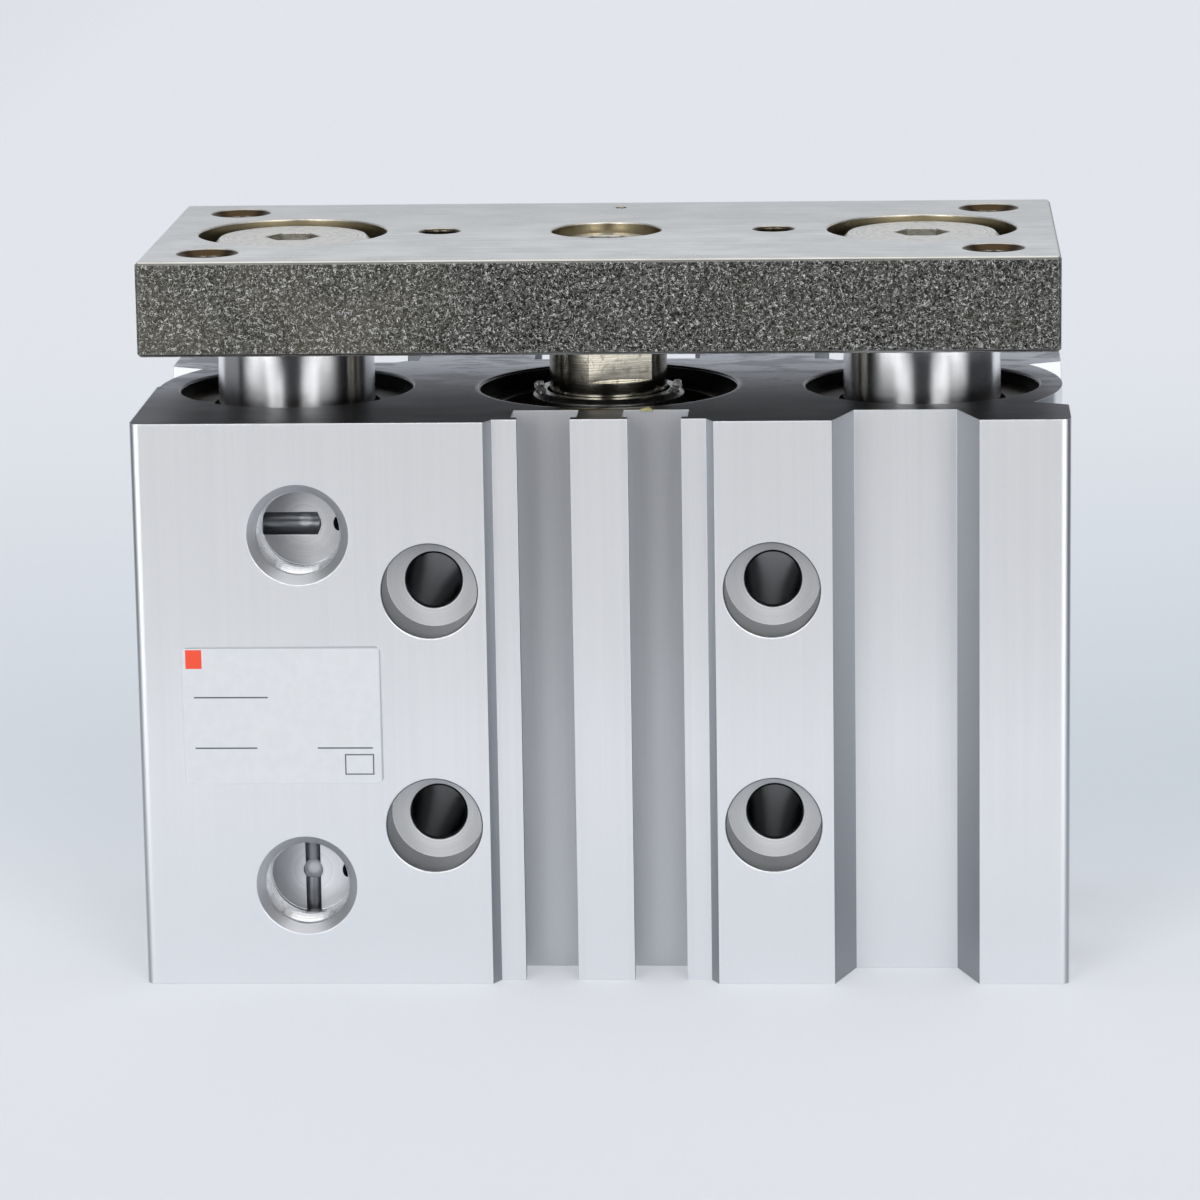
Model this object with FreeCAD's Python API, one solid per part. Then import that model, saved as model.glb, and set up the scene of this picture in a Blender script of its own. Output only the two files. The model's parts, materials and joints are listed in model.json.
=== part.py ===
import FreeCAD, Part
import math
import os

# Guided pneumatic cylinder: an extruded body with one air cylinder between two guide
# rods, which carry a tooling plate. Millimetres, +Z up, x along the width, y from the
# front face to the back. The origin is the centre of the body's bottom face, and the
# plate is drawn in its lowest, retracted place.

# ---- cylinder bore and its stack of pieces, from the bottom face up ----
BORE_DIA = 25.0
BORE_MOUTH_STEP = 0.65          # how much larger in radius the bore is at both covers
RING_GROOVE_STEP = 0.45         # depth of the retaining ring grooves
MOUTH_DEPTH = 1.9               # from the end faces to the retaining rings
RING_GROOVE_WIDTH = 1.2
HEAD_COVER_THICKNESS = 3.9
HEAD_FLANGE_THICKNESS = 1.2
HEAD_BUMPER_THICKNESS = 0.9
PISTON_LENGTH = 12.0
ROD_BUMPER_THICKNESS = 0.9
STROKE = 10.0
SPACER_LENGTH = 10.0            # takes up stroke that this body has and the unit lacks
ROD_COVER_LENGTH = 13.4
ROD_FLANGE_THICKNESS = 3.0
STOP_GAP = 0.1                  # left at both ends of the stroke

# ---- rods ----
PISTON_ROD_DIA = 12.0
ROD_FLATS_ACROSS = 10.0
ROD_FLATS_LENGTH = 5.3
ROD_FLATS_TURN = 17.0           # degrees from the front face
ROD_SPIGOT_DIA = 8.0
ROD_SPIGOT_RECESS = 0.5
GUIDE_ROD_DIA = 16.0
GUIDE_ROD_INSET = 3.0           # lower rod ends above the bottom face
GUIDE_ROD_CHAMFER = 1.0

# ---- body section ----
SENSOR_FLOOR_WALL = 0.8         # between the sensor grooves and the ring groove
SENSOR_GROOVE_DEPTH = 5.1
SENSOR_GROOVE_WIDTH = 6.5
SENSOR_GROOVE_MOUTH = 5.3
SENSOR_LIP = 1.2
SENSOR_WEB = 4.5                # between the two grooves of a pair
LAND_DEPTH = 1.5                # recessed band round the front sensor grooves
LAND_MARGIN = 1.85
LAND_SIDE_RUN = 0.8             # width of each sloping side
T_SLOT_MOUTH = 5.4
T_SLOT_WIDTH = 8.4
T_SLOT_LIP = 2.2
T_SLOT_DEPTH = 5.7
T_SLOT_RELIEF = 0.8             # centre channel for the tip of a bolt
T_SLOT_WALL = 1.1               # between a mounting hole and a T-slot
WIDE_GROOVE_MOUTH = 14.5
WIDE_GROOVE_FLOOR = 10.2
WIDE_GROOVE_DEPTH = 5.9
WIDE_GROOVE_WALL = 1.25         # from a counterbore to the groove
END_STEP = 0.25                 # the round ends stay this far inside the side faces
CORNER_BLOCK_DEPTH = 8.3        # square corners beside the round ends
NOTCH_ANGLE = 26.0              # slope of the corner blocks' inner walls, degrees
PORT_BOSS_PAST_CENTRE = 0.5     # the flat side of the port corner runs to here
CORNER_RADIUS = 1.0

# ---- guide bores ----
GUIDE_BUSH_WALL = 1.0
GUIDE_RECESS_DIA = 23.8
GUIDE_SIDE_WALL = 2.6           # between a guide recess and the side face
GUIDE_HOLE_WALL = 3.3           # between a guide bore and a mounting hole
GUIDE_RECESS_OPEN = 1.5         # left open above the felt holders
FELT_THICKNESS = 1.2
FELT_HOLDER_THICKNESS = 0.8
FELT_HOLDER_CLEARANCE = 0.5
UPPER_BUSH_LENGTH = 16.0
LOWER_BUSH_LENGTH = 18.0
LOWER_BUSH_INSET = 1.0          # above where the rod ends stop at full stroke
RECESS_CHAMFER = 0.2

# ---- mounting holes through the body, and tapped holes in its bottom ----
MOUNT_HOLE_DIA = 5.4
MOUNT_BORE_WALL = 1.15          # between a mounting hole and the bore's mouth
MOUNT_COUNTERBORE_DIA = 9.5
MOUNT_COUNTERBORE_DEPTH = 5.6
MOUNT_INNER_CHAMFER = 0.25
MOUNT_HOLE_FROM_TOP = 17.0
MOUNT_HOLE_SPACING_Z = 24.0
MOUNT_THREAD_DIA = 6.0
RIM_CHAMFER = 0.15
BOTTOM_HOLE_FROM_SIDE = 5.5
BOTTOM_HOLE_FROM_FACE = 6.0
BOTTOM_HOLE_DEPTH = 15.0
M6_CORE_DIA = 5.0
M6_MOUTH_DIA = 6.4

# ---- air ports ----
PORT_CORE_DIA = 8.5
PORT_MOUTH_DIA = 10.2
PORT_DEPTH = 6.0
PORT_OFFSET = 13.0              # sideways from the mounting holes
UPPER_PORT_FROM_TOP = 11.25
LOWER_PORT_HEIGHT = 10.3
PASSAGE_DIA = 1.5
PASSAGE_ENTRY_X = 3.7           # from the port's centre
PASSAGE_EXIT_ANGLE = 30.0       # round the bore, degrees to the front of the left side
UPPER_CHANNEL_DIA = 2.5
UPPER_CHANNEL_PAST_PORT = 1.4
LOWER_CHANNEL_DIA = 1.5
LOWER_DIMPLE_DIA = 2.0
CHANNEL_FLOOR_RISE = 0.5        # channel axis in front of the upper port's floor
SIDE_PORT_DEPTH = 5.0
SIDE_PORT_Y = -6.5
PLUG_RECESS = 0.3
PLUG_LENGTH = 4.4
PLUG_SOCKET_ACROSS = 5.0
PLUG_SOCKET_DEPTH = 2.8
UPPER_BALL_DIA = 3.0
LOWER_BALL_DIA = 2.5
BALL_SEAT_DEPTH = 3.2

# ---- tooling plate and its screws ----
PLATE_END_WALL = 3.9            # outside the guide bolts' counterbores
PLATE_SETBACK = 1.0             # the plate is this much shallower on each side
PLATE_THICKNESS = 9.5
PLATE_GAP = 6.5                 # between the body and the lowered plate
PLATE_EDGE_CHAMFER = 0.3
TOOL_HOLE_FROM_END = 6.5
TOOL_HOLE_FROM_EDGE = 6.0
DOWEL_SPACING = 34.0
DOWEL_DIA = 4.0
DOWEL_CHAMFER = 0.25
GUIDE_BOLT_HEAD_UNDERSIZE = 0.05
GUIDE_BOLT_HEAD_ROOM = 1.65     # round the head, in its counterbore
GUIDE_BOLT_HEAD_HEIGHT = 4.0
GUIDE_BOLT_SUNK = 0.45
GUIDE_BOLT_THREAD_CORE = 6.8
GUIDE_BOLT_HOLE_DIA = 8.4
GUIDE_BOLT_REACH = 14.0         # into the guide rod
PLATE_BOLT_HEAD_DIA = 10.0
PLATE_BOLT_HEAD_ROOM = 0.6
PLATE_BOLT_HEAD_HEIGHT = 6.0
PLATE_BOLT_SUNK = 0.95
PLATE_BOLT_HOLE_DIA = 6.4
PLATE_BOLT_REACH = 12.0         # into the piston rod
SOCKET_ACROSS = 5.0
SOCKET_DEPTH = 2.6
TAPPED_EXTRA_DEPTH = 2.0        # tapped holes run on past their screws
HEAD_EDGE_CHAMFER = 0.5
PUNCH_MARK_DIA = 1.2
PUNCH_MARK_DEPTH = 0.5
PUNCH_MARK_X = 0.7
PUNCH_MARK_FROM_BACK = 4.0

# ---- rod cover ----
BOSS_DIA = 15.5
BOSS_BELOW_TOP = 0.25
BOSS_CHAMFER = 0.5
ROD_BUSH_WALL = 1.0
ROD_BUSH_INSET = 0.3
SKIRT_STEP = 1.0                # air gap round the cover's skirt and the spacer
SPACER_SPIGOT_DIA = 18.0
SPACER_SPIGOT_LENGTH = 1.5
ROD_SEAL_WIDTH = 2.8
ROD_SEAL_LENGTH = 3.2
ROD_SEAL_ROOF = 0.8             # between the seal and the cover's flange face
SEAL_LIP_GROOVE = 1.4

# ---- piston and rings ----
PISTON_SEAL_DEPTH = 2.9
PISTON_SEAL_WIDTH = 2.6
PISTON_SEAL_WAIST = 0.5
MAGNET_DEPTH = 2.4
MAGNET_WIDTH = 2.2
PISTON_TOP_LAND = 2.0
PISTON_MIDDLE_LAND = 0.8
BUMPER_MARGIN = 2.5             # bumpers stop this far inside the bore
HEAD_BUMPER_HOLE = 10.0
O_RING_SECTION = 1.6
O_RING_LAND = 0.8
CIRCLIP_WIDTH = 2.0
CIRCLIP_GAP = 5.0
CIRCLIP_LUG_DIA = 3.8
CIRCLIP_HOLE_DIA = 1.6

# ---- flats that stand for small round sections ----
ROUND_STEPS = 8

# ---- clearances, in radius or on one face ----
RUNNING_FIT = 0.05
PISTON_FIT = 0.1
SEAT_FIT = 0.02
PASSING_FIT = 0.3
MARGIN = 1.0                    # cutting tools run this far past a face

# ---- heights that follow from the stack ----
HEAD_RING_BOTTOM = MOUTH_DEPTH
HEAD_COVER_BOTTOM = HEAD_RING_BOTTOM + RING_GROOVE_WIDTH
HEAD_COVER_TOP = HEAD_COVER_BOTTOM + HEAD_COVER_THICKNESS
HEAD_BUMPER_TOP = HEAD_COVER_TOP + HEAD_BUMPER_THICKNESS
PISTON_BOTTOM = HEAD_BUMPER_TOP + STOP_GAP
PISTON_TOP = PISTON_BOTTOM + PISTON_LENGTH
ROD_BUMPER_TOP = PISTON_TOP + ROD_BUMPER_THICKNESS
SPACER_BOTTOM = ROD_BUMPER_TOP + STROKE + STOP_GAP
SPACER_TOP = SPACER_BOTTOM + SPACER_LENGTH
ROD_COVER_TOP = SPACER_TOP + ROD_COVER_LENGTH
ROD_RING_TOP = ROD_COVER_TOP + RING_GROOVE_WIDTH
BODY_HEIGHT = ROD_RING_TOP + MOUTH_DEPTH
PLATE_BOTTOM = BODY_HEIGHT + PLATE_GAP
PLATE_TOP = PLATE_BOTTOM + PLATE_THICKNESS
HEAD_STEP = HEAD_COVER_BOTTOM + HEAD_FLANGE_THICKNESS
ROD_STEP = ROD_COVER_TOP - ROD_FLANGE_THICKNESS
FELT_TOP = BODY_HEIGHT - GUIDE_RECESS_OPEN - FELT_HOLDER_THICKNESS
GUIDE_RECESS_FLOOR = FELT_TOP - FELT_THICKNESS
LOWER_BUSH_BOTTOM = GUIDE_ROD_INSET + STROKE + LOWER_BUSH_INSET
UPPER_PORT_Z = BODY_HEIGHT - UPPER_PORT_FROM_TOP
PORT_HEIGHTS = (UPPER_PORT_Z, LOWER_PORT_HEIGHT)
MOUNT_HOLE_HEIGHTS = (
    BODY_HEIGHT - MOUNT_HOLE_FROM_TOP,
    BODY_HEIGHT - MOUNT_HOLE_FROM_TOP - MOUNT_HOLE_SPACING_Z,
)

# ---- plan sizes that follow, worked outwards from the bore ----
BORE_R = BORE_DIA / 2
MOUTH_R = BORE_R + BORE_MOUTH_STEP
RING_GROOVE_R = MOUTH_R + RING_GROOVE_STEP
HALF_DEPTH = RING_GROOVE_R + SENSOR_FLOOR_WALL + SENSOR_GROOVE_DEPTH + LAND_DEPTH
MOUNT_X = MOUTH_R + MOUNT_BORE_WALL + MOUNT_HOLE_DIA / 2
GUIDE_BORE_R = GUIDE_ROD_DIA / 2 + GUIDE_BUSH_WALL
GUIDE_X = MOUNT_X + MOUNT_HOLE_DIA / 2 + GUIDE_HOLE_WALL + GUIDE_BORE_R
GUIDE_RECESS_R = GUIDE_RECESS_DIA / 2
HALF_WIDTH = GUIDE_X + GUIDE_RECESS_R + GUIDE_SIDE_WALL
SENSOR_X = (SENSOR_WEB + SENSOR_GROOVE_WIDTH) / 2
T_SLOT_X = MOUNT_X + MOUNT_HOLE_DIA / 2 + T_SLOT_WALL + T_SLOT_WIDTH / 2
PORT_X = -(MOUNT_X + PORT_OFFSET)
PORT_FLOOR_Y = PORT_DEPTH - HALF_DEPTH
PORT_CORE_R = PORT_CORE_DIA / 2
SKIRT_R = BORE_R - SKIRT_STEP
GUIDE_HEAD_R = GUIDE_ROD_DIA / 2 - GUIDE_BOLT_HEAD_UNDERSIZE
GUIDE_COUNTERBORE_R = GUIDE_HEAD_R + GUIDE_BOLT_HEAD_ROOM
PLATE_HEAD_R = PLATE_BOLT_HEAD_DIA / 2
HALF_PLATE_WIDTH = GUIDE_X + GUIDE_COUNTERBORE_R + PLATE_END_WALL
HALF_PLATE_DEPTH = HALF_DEPTH - PLATE_SETBACK
SIDES = (("left", -1), ("right", 1))


# ---- shared shapes ----
def cylinder(radius, bottom, top, x=0.0, y=0.0):
    """Upright cylinder between two heights."""
    return Part.makeCylinder(radius, top - bottom, FreeCAD.Vector(x, y, bottom))


def rod_between(radius, start, end):
    """Cylinder of any direction between two points."""
    start = FreeCAD.Vector(*start)
    along = FreeCAD.Vector(*end) - start
    return Part.makeCylinder(radius, along.Length, start, along)


def cone_between(radius_start, radius_end, start, end):
    """Cone of any direction between two points."""
    start = FreeCAD.Vector(*start)
    along = FreeCAD.Vector(*end) - start
    return Part.makeCone(radius_start, radius_end, along.Length, start, along)


def ring(outer, inner, bottom, top, x=0.0, y=0.0):
    """Flat ring or tube between two heights."""
    hole = cylinder(inner, bottom - MARGIN, top + MARGIN, x, y)
    return cylinder(outer, bottom, top, x, y).cut(hole)


def box(x_range, y_range, z_range):
    """Box from its three ranges."""
    corner = FreeCAD.Vector(x_range[0], y_range[0], z_range[0])
    spans = [high - low for low, high in (x_range, y_range, z_range)]
    return Part.makeBox(spans[0], spans[1], spans[2], corner)


def prism(outline, bottom, top):
    """Upright prism on a closed plan outline."""
    points = [FreeCAD.Vector(x, y, bottom) for x, y in outline]
    wire = Part.makePolygon(points + points[:1])
    return Part.Face(wire).extrude(FreeCAD.Vector(0, 0, top - bottom))


def turned(profile, x=0.0, y=0.0):
    """Solid of revolution about an upright axis, from (radius, height) points."""
    points = [FreeCAD.Vector(x + radius, y, height) for radius, height in profile]
    face = Part.Face(Part.makePolygon(points + points[:1]))
    return face.revolve(FreeCAD.Vector(x, y, 0), FreeCAD.Vector(0, 0, 1), 360)


def hexagon(across, bottom, top, x=0.0, y=0.0):
    """Upright hexagonal prism, sized across its flats."""
    corner = across / 2 / math.cos(math.pi / 6)
    angles = [math.radians(60 * step) for step in range(6)]
    outline = [(x + corner * math.cos(a), y + corner * math.sin(a)) for a in angles]
    return prism(outline, bottom, top)


def round_points(radius, centre, height, first, last, steps):
    """(radius, height) points round an arc of a turned profile, in degrees."""
    angles = [math.radians(first + (last - first) * n / steps) for n in range(steps + 1)]
    return [(centre + radius * math.cos(a), height + radius * math.sin(a)) for a in angles]


def ball(radius, x, y, height):
    """Steel ball, turned from a profile of short flats."""
    profile = round_points(radius, 0.0, height, -90, 90, ROUND_STEPS)
    return turned([(max(r, 0.0), z) for r, z in profile], x, y)


def joined(solids):
    """One solid from overlapping ones."""
    first, rest = solids[0], solids[1:]
    return first.fuse(rest).removeSplitter()


def mirrored(outline):
    """The same outline on the other side of the x = 0 plane."""
    return [(-x, y) for x, y in reversed(outline)]


# ---- extruded section of the body ----
def corner_block(side, face):
    """Square corner with the sloping wall of the end notch; side and face are signs."""
    tip_y = HALF_DEPTH - CORNER_BLOCK_DEPTH
    inner_x = HALF_WIDTH - END_STEP - HALF_DEPTH
    inner_y = tip_y - (HALF_WIDTH - inner_x) * math.tan(math.radians(NOTCH_ANGLE))
    inner_y = max(inner_y, 0.0)
    reach = (tip_y - inner_y) / math.tan(math.radians(NOTCH_ANGLE))
    outline = [
        (HALF_WIDTH, tip_y),
        (HALF_WIDTH, HALF_DEPTH),
        (inner_x, HALF_DEPTH),
        (inner_x, inner_y),
        (HALF_WIDTH - reach, inner_y),
    ]
    return prism([(side * x, face * y) for x, y in outline], 0.0, BODY_HEIGHT)


def body_blank():
    """Round-ended bar with square corners, before its grooves."""
    centre_x = HALF_WIDTH - END_STEP - HALF_DEPTH
    pieces = [box((-centre_x, centre_x), (-HALF_DEPTH, HALF_DEPTH), (0.0, BODY_HEIGHT))]
    for _, side in SIDES:
        pieces.append(cylinder(HALF_DEPTH, 0.0, BODY_HEIGHT, side * centre_x))
        pieces.append(corner_block(side, 1))
    pieces.append(corner_block(1, -1))
    pieces.append(
        box((-HALF_WIDTH, -centre_x), (-HALF_DEPTH, PORT_BOSS_PAST_CENTRE), (0.0, BODY_HEIGHT))
    )
    blank = joined(pieces)
    corners = []
    for edge in blank.Edges:
        middle = edge.BoundBox.Center
        upright = edge.BoundBox.ZLength > BODY_HEIGHT / 2
        at_side = abs(abs(middle.x) - HALF_WIDTH) < SEAT_FIT
        if upright and at_side and abs(abs(middle.y) - HALF_DEPTH) < SEAT_FIT:
            corners.append(edge)
    return blank.makeFillet(CORNER_RADIUS, corners)


def sensor_groove(x, surface_y, face):
    """Lipped groove for a round sensor; face is -1 at the front and 1 at the back."""
    mouth, wide = SENSOR_GROOVE_MOUTH / 2, SENSOR_GROOVE_WIDTH / 2
    lip_y = surface_y - face * SENSOR_LIP
    floor_y = surface_y - face * SENSOR_GROOVE_DEPTH
    outline = [
        (x - mouth, surface_y + face * (LAND_DEPTH + MARGIN)),
        (x - mouth, lip_y),
        (x - wide, lip_y),
        (x - wide, floor_y),
        (x + wide, floor_y),
        (x + wide, lip_y),
        (x + mouth, lip_y),
        (x + mouth, surface_y + face * (LAND_DEPTH + MARGIN)),
    ]
    return prism(outline, -MARGIN, BODY_HEIGHT + MARGIN)


def sensor_land():
    """Shallow recessed band with sloping sides, which the front sensor grooves sit in."""
    half = SENSOR_X + SENSOR_GROOVE_WIDTH / 2 + LAND_MARGIN
    slope = LAND_SIDE_RUN / LAND_DEPTH
    mouth = half + slope * (LAND_DEPTH + MARGIN)
    outline = [
        (-mouth, -HALF_DEPTH - MARGIN),
        (mouth, -HALF_DEPTH - MARGIN),
        (half, LAND_DEPTH - HALF_DEPTH),
        (-half, LAND_DEPTH - HALF_DEPTH),
    ]
    return prism(outline, -MARGIN, BODY_HEIGHT + MARGIN)


def t_slot(side):
    """T-slot in the back face for a square nut or a bolt head."""
    mouth, wide = T_SLOT_MOUTH / 2, T_SLOT_WIDTH / 2
    lip_y = HALF_DEPTH - T_SLOT_LIP
    floor_y = HALF_DEPTH - T_SLOT_DEPTH
    channel = mouth - T_SLOT_RELIEF
    half_outline = [
        (channel, floor_y - T_SLOT_RELIEF),
        (mouth, floor_y),
        (wide, floor_y),
        (wide, lip_y),
        (mouth, lip_y),
        (mouth, HALF_DEPTH + MARGIN),
    ]
    outline = half_outline + mirrored(half_outline)
    shifted = [(side * T_SLOT_X + x, y) for x, y in outline]
    return prism(shifted, -MARGIN, BODY_HEIGHT + MARGIN)


def wide_groove():
    """Broad groove with sloping walls to the right of the front mounting holes."""
    start = MOUNT_X + MOUNT_COUNTERBORE_DIA / 2 + WIDE_GROOVE_WALL
    centre = start + WIDE_GROOVE_MOUTH / 2
    slope = (WIDE_GROOVE_MOUTH - WIDE_GROOVE_FLOOR) / 2 / WIDE_GROOVE_DEPTH
    mouth = WIDE_GROOVE_MOUTH / 2 + slope * MARGIN
    floor = WIDE_GROOVE_FLOOR / 2
    outline = [
        (centre - mouth, -HALF_DEPTH - MARGIN),
        (centre + mouth, -HALF_DEPTH - MARGIN),
        (centre + floor, WIDE_GROOVE_DEPTH - HALF_DEPTH),
        (centre - floor, WIDE_GROOVE_DEPTH - HALF_DEPTH),
    ]
    return prism(outline, -MARGIN, BODY_HEIGHT + MARGIN)


def section_grooves():
    """Every groove that runs the whole height of the extrusion."""
    tools = [sensor_land(), wide_groove()]
    for _, side in SIDES:
        tools.append(sensor_groove(side * SENSOR_X, LAND_DEPTH - HALF_DEPTH, -1))
        tools.append(sensor_groove(side * SENSOR_X, HALF_DEPTH, 1))
        tools.append(t_slot(side))
    return tools


# ---- machining of the body ----
def cylinder_bore():
    """Piston bore with its cover seats, mouths and retaining ring grooves."""
    top = BODY_HEIGHT
    return turned([
        (0.0, -MARGIN),
        (MOUTH_R + RECESS_CHAMFER + MARGIN, -MARGIN),
        (MOUTH_R, RECESS_CHAMFER),
        (MOUTH_R, HEAD_RING_BOTTOM),
        (RING_GROOVE_R, HEAD_RING_BOTTOM),
        (RING_GROOVE_R, HEAD_COVER_BOTTOM),
        (MOUTH_R, HEAD_COVER_BOTTOM),
        (MOUTH_R, HEAD_STEP),
        (BORE_R, HEAD_STEP),
        (BORE_R, ROD_STEP),
        (MOUTH_R, ROD_STEP),
        (MOUTH_R, ROD_COVER_TOP),
        (RING_GROOVE_R, ROD_COVER_TOP),
        (RING_GROOVE_R, ROD_RING_TOP),
        (MOUTH_R, ROD_RING_TOP),
        (MOUTH_R, top - RECESS_CHAMFER),
        (MOUTH_R + RECESS_CHAMFER + MARGIN, top + MARGIN),
        (0.0, top + MARGIN),
    ])


def guide_bore(side):
    """Bore for two guide bushes, with the felt recess at its top."""
    top = BODY_HEIGHT
    return turned([
        (0.0, -MARGIN),
        (GUIDE_BORE_R + RECESS_CHAMFER + MARGIN, -MARGIN),
        (GUIDE_BORE_R, RECESS_CHAMFER),
        (GUIDE_BORE_R, GUIDE_RECESS_FLOOR),
        (GUIDE_RECESS_R, GUIDE_RECESS_FLOOR),
        (GUIDE_RECESS_R, top - RECESS_CHAMFER),
        (GUIDE_RECESS_R + RECESS_CHAMFER + MARGIN, top + MARGIN),
        (0.0, top + MARGIN),
    ], side * GUIDE_X)


def mounting_hole(x, z):
    """Counterbored hole from the front face, tapped at the back face."""
    hole = rod_between(
        MOUNT_HOLE_DIA / 2, (x, -HALF_DEPTH - MARGIN, z), (x, HALF_DEPTH + MARGIN, z)
    )
    seat_r = MOUNT_COUNTERBORE_DIA / 2
    seat = rod_between(
        seat_r,
        (x, -HALF_DEPTH - MARGIN, z),
        (x, MOUNT_COUNTERBORE_DEPTH - HALF_DEPTH, z),
    )
    rim = cone_between(
        seat_r + RIM_CHAMFER + MARGIN, seat_r,
        (x, -HALF_DEPTH - MARGIN, z), (x, RIM_CHAMFER - HALF_DEPTH, z),
    )
    floor_y = MOUNT_COUNTERBORE_DEPTH - HALF_DEPTH
    inner_rim = cone_between(
        MOUNT_HOLE_DIA / 2 + MOUNT_INNER_CHAMFER + MARGIN, MOUNT_HOLE_DIA / 2,
        (x, floor_y - MARGIN, z), (x, floor_y + MOUNT_INNER_CHAMFER, z),
    )
    thread_r = MOUNT_THREAD_DIA / 2
    thread_chamfer = thread_r - MOUNT_HOLE_DIA / 2
    back_rim = cone_between(
        thread_r + MARGIN, MOUNT_HOLE_DIA / 2,
        (x, HALF_DEPTH + MARGIN, z), (x, HALF_DEPTH - thread_chamfer, z),
    )
    return joined([hole, seat, rim, inner_rim, back_rim])


def front_port(z):
    """Tapped air port in the front face, at its core diameter."""
    core = rod_between(
        PORT_CORE_R, (PORT_X, -HALF_DEPTH - MARGIN, z), (PORT_X, PORT_FLOOR_Y, z)
    )
    mouth_r = PORT_MOUTH_DIA / 2
    chamfer = mouth_r - PORT_CORE_R
    mouth = cone_between(
        mouth_r + MARGIN, PORT_CORE_R,
        (PORT_X, -HALF_DEPTH - MARGIN, z), (PORT_X, chamfer - HALF_DEPTH, z),
    )
    return joined([core, mouth])


def side_port(z):
    """Tapped air port in the left side face, which a plug closes."""
    floor_x = SIDE_PORT_DEPTH - HALF_WIDTH
    core = rod_between(
        PORT_CORE_R, (-HALF_WIDTH - MARGIN, SIDE_PORT_Y, z), (floor_x, SIDE_PORT_Y, z)
    )
    mouth_r = PORT_MOUTH_DIA / 2
    chamfer = mouth_r - PORT_CORE_R
    mouth = cone_between(
        mouth_r + MARGIN, PORT_CORE_R,
        (-HALF_WIDTH - MARGIN, SIDE_PORT_Y, z), (chamfer - HALF_WIDTH, SIDE_PORT_Y, z),
    )
    return joined([core, mouth])


def bore_passage(z):
    """Slanting hole from a front port's floor into the piston bore."""
    entry_x = PORT_X + PASSAGE_ENTRY_X
    start = FreeCAD.Vector(entry_x, PORT_FLOOR_Y - PASSAGE_DIA / 2, z)
    turn = math.radians(PASSAGE_EXIT_ANGLE)
    end = FreeCAD.Vector(-BORE_R * math.cos(turn), -BORE_R * math.sin(turn), z)
    end = end + (end - start).normalize() * PASSAGE_DIA
    return rod_between(PASSAGE_DIA / 2, tuple(start), tuple(end))


def side_passage(z, end):
    """Slanting hole from a side port into the channel that crosses its front port."""
    start = (SIDE_PORT_DEPTH - HALF_WIDTH - PASSAGE_DIA / 2, SIDE_PORT_Y - PORT_CORE_R / 2, z)
    return rod_between(PASSAGE_DIA / 2, start, end)


def upper_channel():
    """Hole drilled from the left side across the upper port's floor, with its cone tip."""
    radius = UPPER_CHANNEL_DIA / 2
    y = PORT_FLOOR_Y + CHANNEL_FLOOR_RISE
    end_x = PORT_X + UPPER_CHANNEL_PAST_PORT
    drill = rod_between(radius, (-HALF_WIDTH - MARGIN, y, UPPER_PORT_Z), (end_x, y, UPPER_PORT_Z))
    tip = cone_between(
        radius, 0.0, (end_x, y, UPPER_PORT_Z), (end_x + radius / 2, y, UPPER_PORT_Z)
    )
    seat = rod_between(
        UPPER_BALL_DIA / 2,
        (-HALF_WIDTH - MARGIN, y, UPPER_PORT_Z),
        (BALL_SEAT_DEPTH - HALF_WIDTH, y, UPPER_PORT_Z),
    )
    return joined([drill, tip, seat])


def lower_channel():
    """Hole drilled up from the bottom face across the lower port's floor."""
    radius = LOWER_CHANNEL_DIA / 2
    top = LOWER_PORT_HEIGHT + PORT_CORE_R
    drill = cylinder(radius, -MARGIN, top, PORT_X, PORT_FLOOR_Y)
    seat = cylinder(LOWER_BALL_DIA / 2, -MARGIN, BALL_SEAT_DEPTH, PORT_X, PORT_FLOOR_Y)
    dimple_r = LOWER_DIMPLE_DIA / 2
    dimple = rod_between(
        dimple_r,
        (PORT_X, PORT_FLOOR_Y - dimple_r, LOWER_PORT_HEIGHT),
        (PORT_X, PORT_FLOOR_Y + dimple_r, LOWER_PORT_HEIGHT),
    )
    return joined([drill, seat, dimple])


def bottom_hole(x, y):
    """Tapped hole in the bottom face, at its core diameter, with its drill point."""
    core = M6_CORE_DIA / 2
    mouth = M6_MOUTH_DIA / 2
    return turned([
        (0.0, -MARGIN),
        (mouth + MARGIN, -MARGIN),
        (core, mouth - core),
        (core, BOTTOM_HOLE_DEPTH),
        (0.0, BOTTOM_HOLE_DEPTH + core / 2),
    ], x, y)


def body():
    """Extruded body with all its machining."""
    tools = section_grooves()
    tools.append(cylinder_bore())
    for _, side in SIDES:
        tools.append(guide_bore(side))
        for z in MOUNT_HOLE_HEIGHTS:
            tools.append(mounting_hole(side * MOUNT_X, z))
        for face in (-1, 1):
            x = side * (HALF_WIDTH - BOTTOM_HOLE_FROM_SIDE)
            y = face * (HALF_DEPTH - BOTTOM_HOLE_FROM_FACE)
            tools.append(bottom_hole(x, y))
    for z in PORT_HEIGHTS:
        tools += [front_port(z), side_port(z), bore_passage(z)]
    joint = PORT_CORE_R + PASSAGE_DIA
    upper_end = (PORT_X - joint, PORT_FLOOR_Y + CHANNEL_FLOOR_RISE, UPPER_PORT_Z)
    lower_end = (PORT_X, PORT_FLOOR_Y, LOWER_PORT_HEIGHT - joint)
    tools += [side_passage(UPPER_PORT_Z, upper_end), side_passage(LOWER_PORT_HEIGHT, lower_end)]
    tools += [upper_channel(), lower_channel()]
    blank = body_blank()
    for tool in tools:
        blank = blank.cut(tool)
    return blank


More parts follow.
